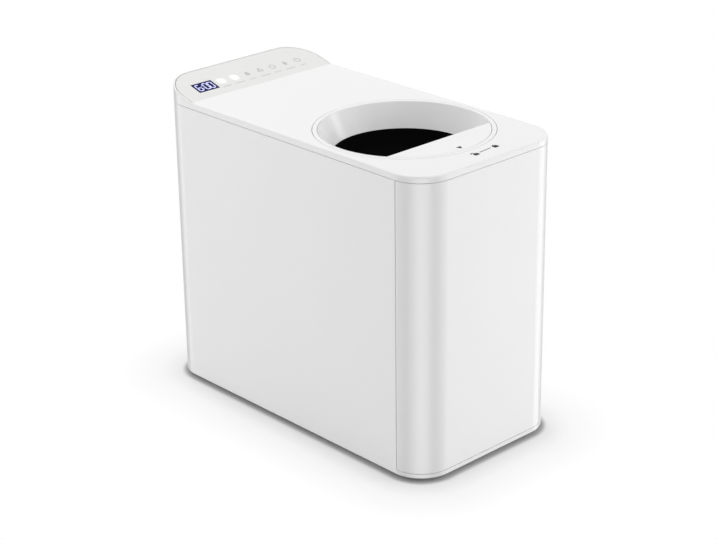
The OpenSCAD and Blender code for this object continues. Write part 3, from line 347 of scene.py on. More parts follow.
GLOSS = dict(Coat_Weight=0.6, Coat_Roughness=0.16, Coat_IOR=1.6)
FINISH = {
    "casing_white": moulded("casing_white", (0.86, 0.86, 0.86), 0.32, strength=0.03, spread=0.004, **GLOSS),
    "panel_white": panel_material(),
    "foot_rubber": moulded("foot_rubber", (0.02, 0.02, 0.02), 0.75, grain=1500.0, strength=0.25),
    "print_black": moulded(
        "print_black", (0.004, 0.004, 0.004), 0.5, strength=0.0, Specular_IOR_Level=0.1
    ),
    "display_glass": moulded(
        "display_glass", (0.008, 0.01, 0.075), 0.15, strength=0.0, Specular_IOR_Level=0.05
    ),
    "display_light": lit("display_light", (0.1, 0.1, 0.2), (0.63, 0.65, 1.0), 1.05),
    "key_light": lit("key_light", (0.9, 0.9, 0.95), (0.95, 0.94, 1.0), 0.5),
    "key_print": moulded("key_print", (0.54, 0.54, 0.54), 0.5, grain=4000.0),
    "circuit_board": circuit_board_material(),
    "black_plastic": moulded(
        "black_plastic", (0.018, 0.018, 0.02), 0.5, grain=1800.0, strength=0.2, spread=0.08
    ),
    "grey_plastic": moulded(
        "grey_plastic", (0.27, 0.28, 0.3), 0.45, grain=1800.0, strength=0.15, spread=0.03
    ),
    "smoked_window": moulded(
        "smoked_window", (0.0008, 0.0008, 0.0008), 0.12, strength=0.0, Specular_IOR_Level=0.0005
    ),
    "magnet": metal("magnet", (0.62, 0.61, 0.58), 0.22),
    "silicone": moulded("silicone", (0.05, 0.05, 0.055), 0.6, grain=900.0, strength=0.15, spread=0.06),
    "well_metal": metal("well_metal", (0.62, 0.63, 0.65), 0.34, (1, 1, 0.02), 260.0),
    "insulation": grained("insulation", (0.62, 0.6, 0.52), 0.95, 600.0, 0.6, 0.8 * MM),
    "element_steel": element_material(),
    "stand_metal": grained("stand_metal", (0.5, 0.51, 0.53), 0.42, 140.0, 0.05, 0.05 * MM, 1.0, 0.12),
    "bucket_coating": grained(
        "bucket_coating", (0.035, 0.035, 0.038), 0.4, 1500.0, 0.12, 0.05 * MM, 0.0, 0.5
    ),
    "wire_steel": metal("wire_steel", (0.66, 0.66, 0.67), 0.2, (60, 1, 1)),
    "cast_steel": grained("cast_steel", (0.42, 0.42, 0.44), 0.45, 700.0, 0.25, 0.15 * MM, 1.0, 0.1),
    "shaft_steel": metal("shaft_steel", (0.6, 0.6, 0.62), 0.22, (1, 1, 40)),
    "bronze": metal("bronze", (0.55, 0.34, 0.13), 0.35, (1, 1, 20)),
    "gear_plastic": moulded("gear_plastic", (0.74, 0.71, 0.6), 0.4, grain=1400.0, strength=0.1, spread=0.03),
    "motor_metal": metal("motor_metal", (0.2, 0.21, 0.23), 0.38, (1, 1, 0.05), 120.0),
    "carbon": grained("carbon", (0.022, 0.022, 0.023), 0.85, 420.0, 1.0, 1.0 * MM, 0.0, 0.6),
}


def dress_nodes():
    """Each CAD node takes the finish of its slot."""
    for node, slot in SLOT_OF.items():
        mesh = NODES[node].data
        mesh.materials.clear()
        mesh.materials.append(FINISH[slot])


dress_nodes()

# ---- Mesh helpers ----
ARC_STEPS = 24


def corner_arc(side_x, side_y, start, inset):
    middle = Vector((side_x * (HALF_W - CORNER_R), side_y * (HALF_D - CORNER_R)))
    turns = [math.radians(start + 90 * k / ARC_STEPS) for k in range(ARC_STEPS + 1)]
    return [middle + (CORNER_R - inset) * Vector((math.cos(a), math.sin(a))) for a in turns]


def outline(inset=0.0):
    """The cabinet's outline from above, anticlockwise, with a point on each side at the crease."""
    side = HALF_W - inset
    front = corner_arc(-1, -1, 180, inset) + corner_arc(1, -1, 270, inset)
    rear = corner_arc(1, 1, 0, inset) + corner_arc(-1, 1, 90, inset)
    return front + [Vector((side, CREASE_Y))] + rear + [Vector((-side, CREASE_Y))]


def circle(radius, steps=160, middle=(0, LID_Y)):
    turns = [2 * math.pi * k / steps for k in range(steps)]
    return [Vector((middle[0] + radius * math.cos(a), middle[1] + radius * math.sin(a))) for a in turns]


def raised(points, z):
    return [Vector((p[0], p[1], z)) for p in points]


def loft(mesh, rings, wrap=False):
    """Skin between rings of points. With wrap, the last ring joins the first."""
    made = [[mesh.verts.new(p) for p in ring] for ring in rings]
    pairs = list(zip(made, made[1:]))
    if wrap:
        pairs.append((made[-1], made[0]))
    for low, high in pairs:
        for k in range(len(low)):
            j = (k + 1) % len(low)
            mesh.faces.new((low[k], low[j], high[j], high[k]))
    return made


def closed_loft(rings):
    """A solid from a stack of rings, closed by a flat face at each end."""
    mesh = bmesh.new()
    made = loft(mesh, rings)
    mesh.faces.new(made[0])
    mesh.faces.new(made[-1])
    return mesh


def lathe(profile, steps=160):
    """A solid turned round the lid's axis from a closed outline of (radius, height) points."""
    mesh = bmesh.new()
    loft(mesh, [raised(circle(r, steps), z) for r, z in profile], wrap=True)
    return mesh


def block(low, high):
    mesh = bmesh.new()
    bmesh.ops.create_cube(mesh, size=1)
    low, high = Vector(low), Vector(high)
    for vert in mesh.verts:
        vert.co = (low + high) / 2 + Vector(a * b for a, b in zip(vert.co, high - low))
    return mesh


def sector(r_in, r_out, middle, angle, low, high, steps=8):
    """A block bent round the lid's axis."""
    mesh = bmesh.new()
    slices = []
    for k in range(steps + 1):
        a = math.radians(middle - angle / 2 + angle * k / steps)
        ray = Vector((math.cos(a), math.sin(a)))
        foot = Vector((0, LID_Y))
        corners = [(r_in, low), (r_out, low), (r_out, high), (r_in, high)]
        slices.append([Vector((*(foot + ray * r), z)) for r, z in corners])
    made = loft(mesh, slices)
    mesh.faces.new(made[0])
    mesh.faces.new(made[-1])
    return mesh


def disc(x, y, radius, low, high, steps=48):
    """An upright cylinder at a place."""
    return slab(circle(radius, steps, (x, y)), low, high)


def slab(points, low, high):
    return closed_loft([raised(points, low), raised(points, high)])


def merged(meshes):
    """Several solids as one mesh."""
    whole = bmesh.new()
    for mesh in meshes:
        bmesh.ops.recalc_face_normals(mesh, faces=mesh.faces)
        part = bpy.data.meshes.new("part")
        mesh.to_mesh(part)
        mesh.free()
        whole.from_mesh(part)
        bpy.data.meshes.remove(part)
    return whole


def make_object(name, mesh):
    bmesh.ops.recalc_face_normals(mesh, faces=mesh.faces)
    data = bpy.data.meshes.new(name)
    mesh.to_mesh(data)
    mesh.free()
    made = bpy.data.objects.new(name, data)
    bpy.context.scene.collection.objects.link(made)
    return made


def settle(piece):
    """Apply the piece's modifiers to its mesh."""
    shown = piece.evaluated_get(bpy.context.evaluated_depsgraph_get())
    data = bpy.data.meshes.new_from_object(shown)
    piece.modifiers.clear()
    piece.data = data


def combine(piece, others, operation="DIFFERENCE"):
    """Cut the others out of the piece, or join them to it. They are used up."""
    tools = [make_object("tool", mesh) for mesh in others]
    for tool in tools:
        step = piece.modifiers.new("combine", "BOOLEAN")
        step.operation = operation
        step.solver = "EXACT"
        step.object = tool
    settle(piece)
    for tool in tools:
        bpy.data.objects.remove(tool)


def shade_evenly(piece, angle=32):
    """Smooth shading up to the angle, with flat faces kept flat."""
    piece.data.shade_smooth()
    piece.data.set_sharp_from_angle(angle=math.radians(angle))
    even = piece.modifiers.new("even", "WEIGHTED_NORMAL")
    even.keep_sharp = True
    settle(piece)


def round_edges(piece, width, steps=2, angle=35):
    """Round every edge that turns more than the angle, and shade the rest smooth."""
    step = piece.modifiers.new("round", "BEVEL")
    step.width = width
    step.segments = steps
    step.limit_method = "ANGLE"
    step.angle_limit = math.radians(angle)
    step.use_clamp_overlap = True
    settle(piece)
    shade_evenly(piece)


def soften(node, width, steps=2):
    """The CAD shape of a node with rounded edges and even shading."""
    mesh = bmesh.new()
    mesh.from_mesh(NODES[node].data)
    bmesh.ops.remove_doubles(mesh, verts=mesh.verts, dist=0.002 * MM)
    bmesh.ops.dissolve_limit(mesh, angle_limit=math.radians(0.5), verts=mesh.verts, edges=mesh.edges)
    piece = make_object(f"{node}_shape", mesh)
    round_edges(piece, width, steps)
    return finish_piece(piece, SLOT_OF[node], BODY_OF[node], node)


def finish_piece(piece, slot, body, *nodes):
    piece.data.materials.clear()
    piece.data.materials.append(FINISH[slot])
    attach(piece, body)
    if nodes:
        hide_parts(*nodes)
    return piece


# ---- Casings ----
EDGE = 0.25 * MM


def casing_ring(low, high, inset=0.0, thickness=WALL, rows=()):
    """A closed wall along the cabinet's outline; rows split its outer face at more heights."""
    mesh = bmesh.new()
    inner = outline(inset + thickness)
    outside = [raised(outline(inset), z) for z in (low, *rows, high)]
    loft(mesh, outside + [raised(inner, high), raised(inner, low)], wrap=True)
    return mesh


def make_front_panel():
    piece = make_object("front_casing", casing_ring(FRONT_LOW.z, FRONT_HIGH.z))
    combine(piece, [block((-FAR, FRONT_HIGH.y - EDGE, -FAR), (FAR, FAR, FAR))])
    round_edges(piece, EDGE)
    return finish_piece(piece, "casing_white", "cabinet", "front_panel")


# The screw bosses stand just clear of the base tray
BOSS_FOOT = BODY_Z + 3.2 * MM


def screw_places():
    x = SCREWS_HIGH.x - SCREW_HEAD_R
    y = SCREWS_HIGH.y - SCREW_HEAD_R
    return [(sx * x, sy * y) for sx in (-1, 1) for sy in (-1, 1)]


VENT_COUNT = 10
VENT_PITCH = 12 * MM
VENT_SIZE = Vector((3 * MM, 40 * MM))
INLET_HALF_H = 11.85 * MM
VENT_RISE = 22 * MM
FIRST_VENT = Vector((-38 * MM, INLET_LOW.z + INLET_HALF_H + VENT_RISE))
DRAWER_GAP = 0.4 * MM
CUT_INSIDE = 8 * MM
CUT_OUTSIDE = 5 * MM


def rear_opening(left, right, low, high):
    """A box through the rear wall."""
    return block((left, HALF_D - CUT_INSIDE, low), (right, HALF_D + CUT_OUTSIDE, high))


def rear_openings():
    """Boxes for the drawer, the mains inlet and the row of vents in the rear wall."""
    cuts = []
    for low, high, gap in ((DRAWER_LOW, DRAWER_HIGH, DRAWER_GAP), (INLET_LOW, INLET_HIGH, SLIP)):
        cuts.append(rear_opening(low.x - gap, high.x + gap, low.z - gap, high.z + gap))
    half = VENT_SIZE.x / 2
    for k in range(VENT_COUNT):
        x = FIRST_VENT.x + VENT_PITCH * k
        cuts.append(rear_opening(x - half, x + half, FIRST_VENT.y, FIRST_VENT.y + VENT_SIZE.y))
    return cuts


# Extra rows in the outer wall, this far above and below the mains inlet, keep the shading beside it even
INLET_MARGIN = 1.5 * MM


def make_lip():
    """Mesh of the strips behind the two upright seams of the front panel."""
    ring = casing_ring(FRONT_LOW.z + LIP_END, FRONT_HIGH.z - LIP_END, WALL - LIP_OVERLAP, LIP)
    lip = make_object("lip", ring)
    before = block((-FAR, -FAR, -FAR), (FAR, FRONT_HIGH.y - LIP_DEPTH, FAR))
    behind = block((-FAR, FRONT_HIGH.y + LIP_DEPTH, -FAR), (FAR, FAR, FAR))
    combine(lip, [before, behind])
    mesh = lip.data
    bpy.data.objects.remove(lip)
    return mesh


def make_side_casing():
    """Sides, rear and the plinth strip under the front panel, with the lips and the screw bosses."""
    rows = (INLET_LOW.z - INLET_MARGIN, INLET_HIGH.z + INLET_MARGIN)
    piece = make_object("side_casing", casing_ring(BODY_Z, SHELL_HIGH.z, rows=rows))
    front = block((-FAR, -FAR, FRONT_LOW.z - SEAM), (FAR, FRONT_HIGH.y + SEAM, FAR))
    combine(piece, [front] + rear_openings())
    lip = make_lip()
    round_edges(piece, EDGE)
    bosses = merged([disc(x, y, BOSS_R, BOSS_FOOT, BOSS_FOOT + BOSS_H) for x, y in screw_places()])
    bosses.from_mesh(lip)
    bosses.from_mesh(piece.data)
    bosses.to_mesh(piece.data)
    bosses.free()
    shade_evenly(piece)
    return finish_piece(piece, "casing_white", "cabinet", "main_shell")


def slope_height(y):
    """Height of the top surface: flat, then rising behind the crease."""
    return TOP_Z + max(0, y - CREASE_Y) * math.tan(SLOPE)


def on_top(points, drop=0.0, sink=0.0):
    """Points on the top surface, or under it; sink lowers them more and more behind the crease."""
    return [Vector((p.x, p.y, slope_height(p.y) - drop - sink * max(0, p.y - CREASE_Y))) for p in points]


def panel_prism(inset, depth, above):
    """A solid over the sloping part of the top, from a depth under its surface to above it."""
    points = [p for p in outline(inset) if p.y > CREASE_Y - MM]
    outward = Vector((0, -math.sin(SLOPE), math.cos(SLOPE)))
    surface = on_top(points)
    return closed_loft([[p - outward * depth for p in surface], [p + outward * above for p in surface]])


COVER_STEPS = 8
# How fast the cover's inside falls away behind the crease, which leaves a floor under the plate
INNER_FALL = 0.03
# The cutter of the lid's hole ends under the cover and above it
HOLE_CUT = (0.2, 0.5)
# Gap under the panel's plate, and how far above the slope its recess is cut
BED_GAP = 0.1 * MM
CUT_ABOVE = 20 * MM


def make_top_cover():
    """One moulding: edge band with a rounded upper edge, flat top, sloping rear and the lid's hole."""
    turns = [math.radians(90 * k / COVER_STEPS) for k in range(COVER_STEPS + 1)]
    r = COVER_EDGE_R
    outside = [raised(outline(0), COVER_Z)]
    outside += [on_top(outline(r - r * math.cos(a)), r - r * math.sin(a)) for a in turns]
    inner = outline(WALL)
    mesh = bmesh.new()
    made = loft(mesh, [on_top(inner, WALL, INNER_FALL), raised(inner, COVER_Z)] + outside)
    for ring in (made[0], made[-1]):
        left, right = len(ring) - 1, 2 * (ARC_STEPS + 1)
        mesh.faces.new(ring[: right + 1] + [ring[left]])
        mesh.faces.new(ring[right:])
    piece = make_object("top_casing", mesh)
    hole = slab(circle(HOLE_R), *HOLE_CUT)
    recess = panel_prism(PANEL_INSET - PANEL_GAP / 2, PANEL_T + BED_GAP, CUT_ABOVE)
    combine(piece, [hole, recess])
    round_edges(piece, 0.3 * MM, angle=25)
    return finish_piece(piece, "casing_white", "cabinet", "top_cover")


def on_panel(mesh):
    """Moves a mesh from panel places (x, up the slope, out of the panel) onto the sloping panel."""
    mesh.transform(PANEL_TURN)
    return mesh


def make_panel():
    """The plate over the slope, with a window for the display and a hole for each lit key."""
    piece = make_object("panel_plate", panel_prism(PANEL_INSET + PANEL_GAP / 2, PANEL_T, 0))
    left, right = DISPLAY_LOW.x - SLIP, DISPLAY_HIGH.x + SLIP
    past = 5 * MM
    window = block((left, DISPLAY_SET, -past), (right, DISPLAY_SET + DISPLAY_L, past))
    holes = [disc(x, KEY_SET, KEY_R, -past, past) for x in key_places()[:LIT_KEYS]]
    combine(piece, [on_panel(mesh) for mesh in [window] + holes])
    round_edges(piece, 0.2 * MM, angle=25)
    return finish_piece(piece, "panel_white", "cabinet", "control_panel")


def make_display():
    low = (DISPLAY_LOW.x, DISPLAY_SET + SLIP, -PANEL_T)
    high = (DISPLAY_HIGH.x, DISPLAY_SET + DISPLAY_L - SLIP, -0.1 * MM)
    piece = make_object("display_pane", on_panel(block(low, high)))
    round_edges(piece, 0.15 * MM)
    return finish_piece(piece, "display_glass", "cabinet", "display_window")


DIGIT_W = 5.0 * MM
DIGIT_H = 11.2 * MM
BAR_T = 1.35 * MM
BAR_SPLIT = 0.25 * MM
SHOWN_W = 21.6 * MM
SECOND_DIGIT = 9.4 * MM
COLON = 7.2 * MM
DOT_R = 0.75 * MM
# Middle of each bar in digit widths and heights, and whether it stands
BARS = [(0.5, 1, 0), (1, 0.75, 1), (1, 0.25, 1), (0.5, 0, 0), (0, 0.25, 1), (0, 0.75, 1), (0.5, 0.5, 0)]
SIX = (0, 2, 3, 4, 5, 6)
ZERO = (0, 1, 2, 3, 4, 5)


def bar_outline(x, y, length, upright):
    """A display bar with pointed ends."""
    half, tip = length / 2, BAR_T / 2
    points = [(-half, 0), (tip - half, -tip), (half - tip, -tip)]
    points += [(half, 0), (half - tip, tip), (tip - half, tip)]
    if upright:
        points = [(-v, u) for u, v in points]
    return [Vector((x + u, y + v)) for u, v in points]


def make_digits():
    """The time left, 6:00, in lit bars that lie flush with the pane's face."""
    x0 = (DISPLAY_LOW.x + DISPLAY_HIGH.x - SHOWN_W) / 2 + BAR_T / 4
    y0 = DISPLAY_SET + (DISPLAY_L - DIGIT_H) / 2
    low, high = -0.2 * MM, -0.02 * MM
    shapes = []
    for left, bars in ((0, SIX), (SECOND_DIGIT, ZERO), (SHOWN_W - DIGIT_W - BAR_T / 2, ZERO)):
        for u, v, upright in (BARS[k] for k in bars):
            length = (DIGIT_H / 2 if upright else DIGIT_W) - BAR_SPLIT
            bar = bar_outline(x0 + left + u * DIGIT_W, y0 + v * DIGIT_H, length, upright)
            shapes.append(slab(bar, low, high))
    for v in (0.3, 0.7):
        shapes.append(disc(x0 + COLON, y0 + v * DIGIT_H, DOT_R, low, high, 24))
    piece = make_object("display_figures", on_panel(merged(shapes)))
    return finish_piece(piece, "display_light", "cabinet", "display_digits")


def make_key_lights():
    """Slightly domed lenses of the two lit keys."""
    lens_r = KEY_R - SLIP
    rings = [(lens_r, -PANEL_T), (lens_r, -0.25 * MM)]
    rings += [(KEY_R - 0.5 * MM, -0.08 * MM), (KEY_R / 2, -0.02 * MM)]
    lenses = []
    for x in key_places()[:LIT_KEYS]:
        lenses.append(closed_loft([raised(circle(r, 48, (x, KEY_SET)), z) for r, z in rings]))
    piece = make_object("key_lenses", on_panel(merged(lenses)))
    piece.data.shade_smooth()
    piece.data.set_sharp_from_angle(angle=math.radians(40))
    return finish_piece(piece, "key_light", "cabinet", "key_lights")


# Lowest and highest level of print, from the panel's face and on the flat top
PANEL_PRINT = (-0.03 * MM, 0.05 * MM)
TOP_PRINT = (TOP_Z - 0.05 * MM, TOP_Z + 0.12 * MM)
# In millimetres, as the legends' widths are
STROKE_PITCH = 1.3
STROKE_FILL = 0.72
STROKE_FOOT, STROKE_TOP, TALL_STROKE_TOP = -0.6 * MM, 0.6 * MM, 0.85 * MM


def make_legends():
    """A short line of small print under each key, too small to read."""
    strokes = []
    for x, width in zip(key_places(), LEGEND_WIDTHS):
        count = round(width / STROKE_PITCH)
        pitch = width * MM / count
        for k in range(count):
            left = x - width * MM / 2 + pitch * k
            right = left + pitch * STROKE_FILL
            high = LEGEND_SET + (STROKE_TOP if k % 3 else TALL_STROKE_TOP)
            low_corner = (left, LEGEND_SET + STROKE_FOOT, PANEL_PRINT[0])
            strokes.append(block(low_corner, (right, high, PANEL_PRINT[1])))
    piece = make_object("legend_print", on_panel(merged(strokes)))
    return finish_piece(piece, "key_print", "cabinet", "key_legends")


def arc(radius, start, end, steps=24):
    """Points of an arc, with angles in degrees."""
    turns = [math.radians(start + (end - start) * k / steps) for k in range(steps + 1)]
    return [radius * Vector((math.cos(a), math.sin(a))) for a in turns]


def arc_band(inner, outer, start, end, steps=24):
    """Outline of a part of a ring."""
    return arc(outer, start, end, steps) + arc(inner, start, end, steps)[::-1]


def icon_outlines(kind):
    """Generic marks in millimetres: drop, fan, ring, leaf and power."""
    if kind == "drop":
        body = arc(2.4, -215, 35)
        return [[Vector((0, 4.2))] + [p - Vector((0, 0.6)) for p in body]]
    if kind == "fan":
        return [circle(1.5, 20, centre) for centre in arc(2.1, 90, 330, 2)]
    if kind == "ring":
        return [arc_band(2.3, 3.4, 0, 180), arc_band(2.3, 3.4, 180, 360)]
    if kind == "leaf":
        right = [p - Vector((1.6, 0)) for p in arc(3.6, -63, 63)]
        return [right + [Vector((-p.x, -p.y)) for p in right]]
    bar = [Vector((x, y)) for x, y in ((-0.5, 0.6), (0.5, 0.6), (0.5, 3.9), (-0.5, 3.9))]
    return [arc_band(2.4, 3.4, 112, 428), bar]


ICON_SCALE = 1.2


def make_icons():
    """Printed marks of the five keys that are not lit."""
    shapes = []
    for x, kind in zip(key_places()[LIT_KEYS:], ("drop", "fan", "ring", "leaf", "power")):
        for outline_points in icon_outlines(kind):
            placed = [Vector((x, KEY_SET)) + ICON_SCALE * p * MM for p in outline_points]
            shapes.append(slab(placed, *PANEL_PRINT))
    piece = make_object("icon_print", on_panel(merged(shapes)))
    return finish_piece(piece, "key_print", "cabinet", "key_icons")


# A padlock's sizes, and the places of its body and its shackle from its reference point
LOCK_HALF_W = 2.5 * MM
LOCK_HALF_H = 1.7 * MM
LOCK_DROP = 0.6 * MM
LOCK_CORNER_R = 0.6 * MM
SHACKLE_R = 2.5 * MM
SHACKLE_BORE = 1.45 * MM
SHUT_SHACKLE = Vector((0, 1.5 * MM))
OPEN_SHACKLE = Vector((-2.0 * MM, 2.3 * MM))
LEG_SET = 1.97 * MM
LEG_HALF_W = 0.5 * MM
LEG_FOOT = 0.9 * MM


def padlock_body(x, y):
    """Outline with rounded corners."""
    points = []
    for side_x, side_y, start in ((1, 1, 0), (-1, 1, 90), (-1, -1, 180), (1, -1, 270)):
        for p in arc(LOCK_CORNER_R, start, start + 90, 6):
            u = side_x * LOCK_HALF_W + p.x
            v = side_y * LOCK_HALF_H + p.y - LOCK_DROP
            points.append(Vector((x + u, y + v)))
    return points


def padlock_shapes(x, y, closed):
    """Body and bent shackle, shut or swung open."""
    low, high = TOP_PRINT
    middle = Vector((x, y)) + (SHUT_SHACKLE if closed else OPEN_SHACKLE)
    arch = [middle + p for p in arc_band(SHACKLE_BORE, SHACKLE_R, 0, 180, 16)]
    foot_x = middle.x + LEG_SET
    leg_low = (foot_x - LEG_HALF_W, y + LEG_FOOT, low)
    leg = block(leg_low, (foot_x + LEG_HALF_W, middle.y + 0.01 * MM, high))
    return [slab(padlock_body(x, y), low, high), slab(arch, low, high), leg]


# Each padlock's place from its end of the markings and from the lid's front edge, and where the line
# starts and ends beside them
OPEN_LOCK = Vector((3.4 * MM, -11.9 * MM))
SHUT_LOCK = Vector((-2.4 * MM, -9.5 * MM))
LINE_START = Vector((6 * MM, 0.9 * MM))
LINE_END = Vector((-6.5 * MM, 0.1 * MM))
LINE_HALF_W = 0.45 * MM


def make_lock_markings():
    """Open and shut padlocks joined by a line, printed in front of the lid."""
    edge = LID_Y - LID_R
    left = Vector((MARKS_LOW.x, edge)) + OPEN_LOCK
    right = Vector((MARKS_HIGH.x, edge)) + SHUT_LOCK
    start = left + LINE_START
    end = right + LINE_END
    across = (end - start).normalized().orthogonal() * LINE_HALF_W
    corners = [start - across, end - across, end + across, start + across]
    line = slab(corners, TOP_PRINT[0], TOP_Z + 0.1 * MM)
    shapes = padlock_shapes(*left, False) + padlock_shapes(*right, True) + [line]
    piece = make_object("lock_print", merged(shapes))
    return finish_piece(piece, "print_black", "cabinet", "lock_markings")


def make_arrow():
    """Small triangle on the grip that points to the padlocks."""
    lead, half, back = 0.8 * MM, 3.1 * MM, 5.6 * MM
    tip = Vector(((ARROW_LOW.x + ARROW_HIGH.x) / 2, ARROW_LOW.y - lead))
    points = [tip, tip + Vector((half, back)), tip + Vector((-half, back))]
    piece = make_object("arrow_print", slab(points, *TOP_PRINT))
    return finish_piece(piece, "print_black", "lid", "lid_arrow")


LUGS = [FIRST_LUG + 360 / LUG_COUNT * k for k in range(LUG_COUNT)]
COLLAR_FOOT = FLANGE_Z + 0.3 * MM
NOTCH_ANGLE = LUG_ANGLE + 1.2
NOTCH_FROM = 80 * MM


def make_lid_collar():
    """The collar under the cover, whose ledge has a notch for each lug."""
    ledge_top = TOP_Z - RING_H - LUG_GAP
    ledge_low = ledge_top - LEDGE_T
    ledge_r = SKIRT_R + LUG_GAP
    outer = HOLE_R + COLLAR_T
    profile = [
        (outer, COLLAR_FOOT),
        (outer, TOP_Z - WALL),
        (HOLE_R, TOP_Z - WALL),
        (HOLE_R, ledge_top),
        (ledge_r, ledge_top),
        (ledge_r, ledge_low),
        (HOLE_R, ledge_low),
        (HOLE_R, COLLAR_FOOT),
    ]
    piece = make_object("lid_collar", lathe(profile))
    reach = HOLE_R - 0.05 * MM
    low, high = ledge_low - MM, ledge_top + MM
    combine(piece, [sector(NOTCH_FROM, reach, a, NOTCH_ANGLE, low, high) for a in LUGS])
    round_edges(piece, 0.25 * MM)
    return finish_piece(piece, "casing_white", "cabinet")


# ---- Lid ----


def make_lid_ring():
    inner = LID_R - RING_W + LINE_GAP
    low = TOP_Z - RING_H
    skirt_low = low - LUG_GAP - LEDGE_T - LUG_GAP - LEDGE_T
    profile = [
        (LID_R - LINE_GAP, low),
        (LID_R - LINE_GAP, TOP_Z),
        (inner, TOP_Z),
        (inner, low),
        (SKIRT_R - SKIRT_T, low),
        (SKIRT_R - SKIRT_T, skirt_low),
        (SKIRT_R, skirt_low),
        (SKIRT_R, low),
    ]
    piece = make_object("lid_ring_piece", lathe(profile))
    reach = SKIRT_R + LUG_REACH
    lugs = [sector(SKIRT_R - MM, reach, a, LUG_ANGLE, skirt_low, skirt_low + LEDGE_T) for a in LUGS]
    combine(piece, lugs, "UNION")
    round_edges(piece, 0.35 * MM)
    return finish_piece(piece, "casing_white", "lid", "lid_ring")


def grip_plate():
    """The segment of the dish's mouth in front of the straight grip edge."""
    radius = DISH_TOP_R + 0.2 * MM
    half = math.acos(GRIP_SET / radius)
    steps = 60
    turns = [-math.pi / 2 - half + 2 * half * k / steps for k in range(steps + 1)]
    points = [Vector((radius * math.cos(a), LID_Y + radius * math.sin(a))) for a in turns]
    return slab(points, TOP_Z - GRIP_T, TOP_Z)


def make_dish():
    outer = LID_R - RING_W - SEAM / 2
    low = TOP_Z - RING_H
    floor = WINDOW_HIGH.z
    slope = (DISH_TOP_R - DISH_FLOOR_R) / (TOP_Z - floor)
    side = DISH_T * math.sqrt(1 + slope * slope)
    ledge = DISH_FLOOR_R - WINDOW_LEDGE
    profile = [
        (DISH_TOP_R, TOP_Z),
        (outer, TOP_Z),
        (outer, low),
        (DISH_TOP_R + side - RING_H * slope, low),
        (DISH_FLOOR_R + side, floor),
        (DISH_FLOOR_R + side, WINDOW_LOW.z - DISH_T),
        (ledge, WINDOW_LOW.z - DISH_T),
        (ledge, WINDOW_LOW.z),
        (DISH_FLOOR_R, WINDOW_LOW.z),
        (DISH_FLOOR_R, floor),
    ]
    piece = make_object("lid_dish_piece", lathe(profile))
    combine(piece, [grip_plate()], "UNION")
    round_edges(piece, 0.3 * MM)
    return finish_piece(piece, "casing_white", "lid", "lid_dish")


def make_window():
    piece = make_object("smoked_window_piece", slab(circle(GLASS_R), WINDOW_LOW.z, WINDOW_HIGH.z))
    round_edges(piece, 0.3 * MM)
    return finish_piece(piece, "smoked_window", "lid", "lid_window")


make_front_panel()
make_side_casing()
make_top_cover()
make_panel()
make_display()
make_digits()
make_key_lights()
make_icons()
make_legends()
make_lock_markings()
make_lid_collar()
make_lid_ring()
make_dish()
make_window()
make_arrow()

# ---- The other parts, with rounded edges in millimetres ----
SOFTENED = {
    "base_tray": 0.3,
    "rubber_feet": 0.5,
    "case_screws": 0.15,
    "display_board": 0.1,
    "display_module": 0.3,
    "touch_pillars": 0.2,
    "lid_magnet": 0.2,
    "lid_sensor": 0.4,
    "lid_seal_plate": 0.2,
    "lid_gasket": 0.5,
    "heated_well": 0.3,
    "insulation_jacket": 0.8,
    "heater_plate": 0.3,
    "well_stand": 0.3,
    "bucket": 0.3,
    "fixed_blades": 0.5,
    "agitator": 1.0,
    "agitator_shaft": 0.4,
    "agitator_nut": 0.5,
    "agitator_bush": 0.25,
    "gearbox_base": 0.4,
    "gearbox_cover": 0.4,
    "output_shaft": 0.4,
    "output_bearings": 0.3,
    "idler_axles": 0.3,
    "motor_shaft": 0.2,
    "motor": 0.6,
    "exhaust_duct": 0.4,
    "blower_housing": 0.4,
    "impeller": 0.15,
    "blower_motor": 0.5,
    "filter_housing": 0.3,
    "filter_drawer": 0.4,
    "carbon_cartridge": 0.8,
    "power_board": 0.1,
    "power_components": 0.5,
    "mains_inlet": 0.3,
}
for node, width in SOFTENED.items():
    soften(node, width * MM)

# ---- Floor, world and lamps ----
FLOOR_SIZE = 12.0
DAYLIGHT = 0.66
CEILING = 1.0
# Level that a ramp's full white stands for
WALL_TOP = 4.0
# Azimuth in degrees and brightness of the studio's walls, which only gloss shows. These levels, the
# daylight, the ceiling and the lamps' powers come from a fit of trial renders to the photograph's
# tones. They were then rounded, and some were changed.
WALLS = [
    (-180, 0.0),
    (-160, 1.4),
    (-145, 2.8),
    (-130, 2.9),
    (-115, 2.1),
    (-100, 0.4),
    (-88, 0.2),
    (-75, 0.6),
    (-60, 1.2),
    (-45, 1.5),
    (-30, 2.3),
    (-15, 2.1),
    (-5, 0.9),
    (12, 0.2),
    (30, 1.2),
    (42, 1.4),
    (52, 1.0),
    (65, 0.7),
    (90, 0.2),
    (115, 1.9),
    (135, 1.4),
    (150, 0.5),
    (165, 0.4),
    (180, 0.0),
]
# Name, azimuth and height angle in degrees, distance, width and height in metres, watts, and whether
# gloss shows it
LAMPS = [
    ("rear_high_box", 80, 50, 2.2, 1.4, 1.8, 14.0, False),
    ("front_right_box", 310, 22, 2.2, 0.7, 1.2, 10.3, False),
    ("strip_box", 338, 28, 2.2, 0.5, 1.0, 3.2, True),
    ("near_left_box", 165, 35, 0.8, 0.5, 0.5, 0.6, False),
]


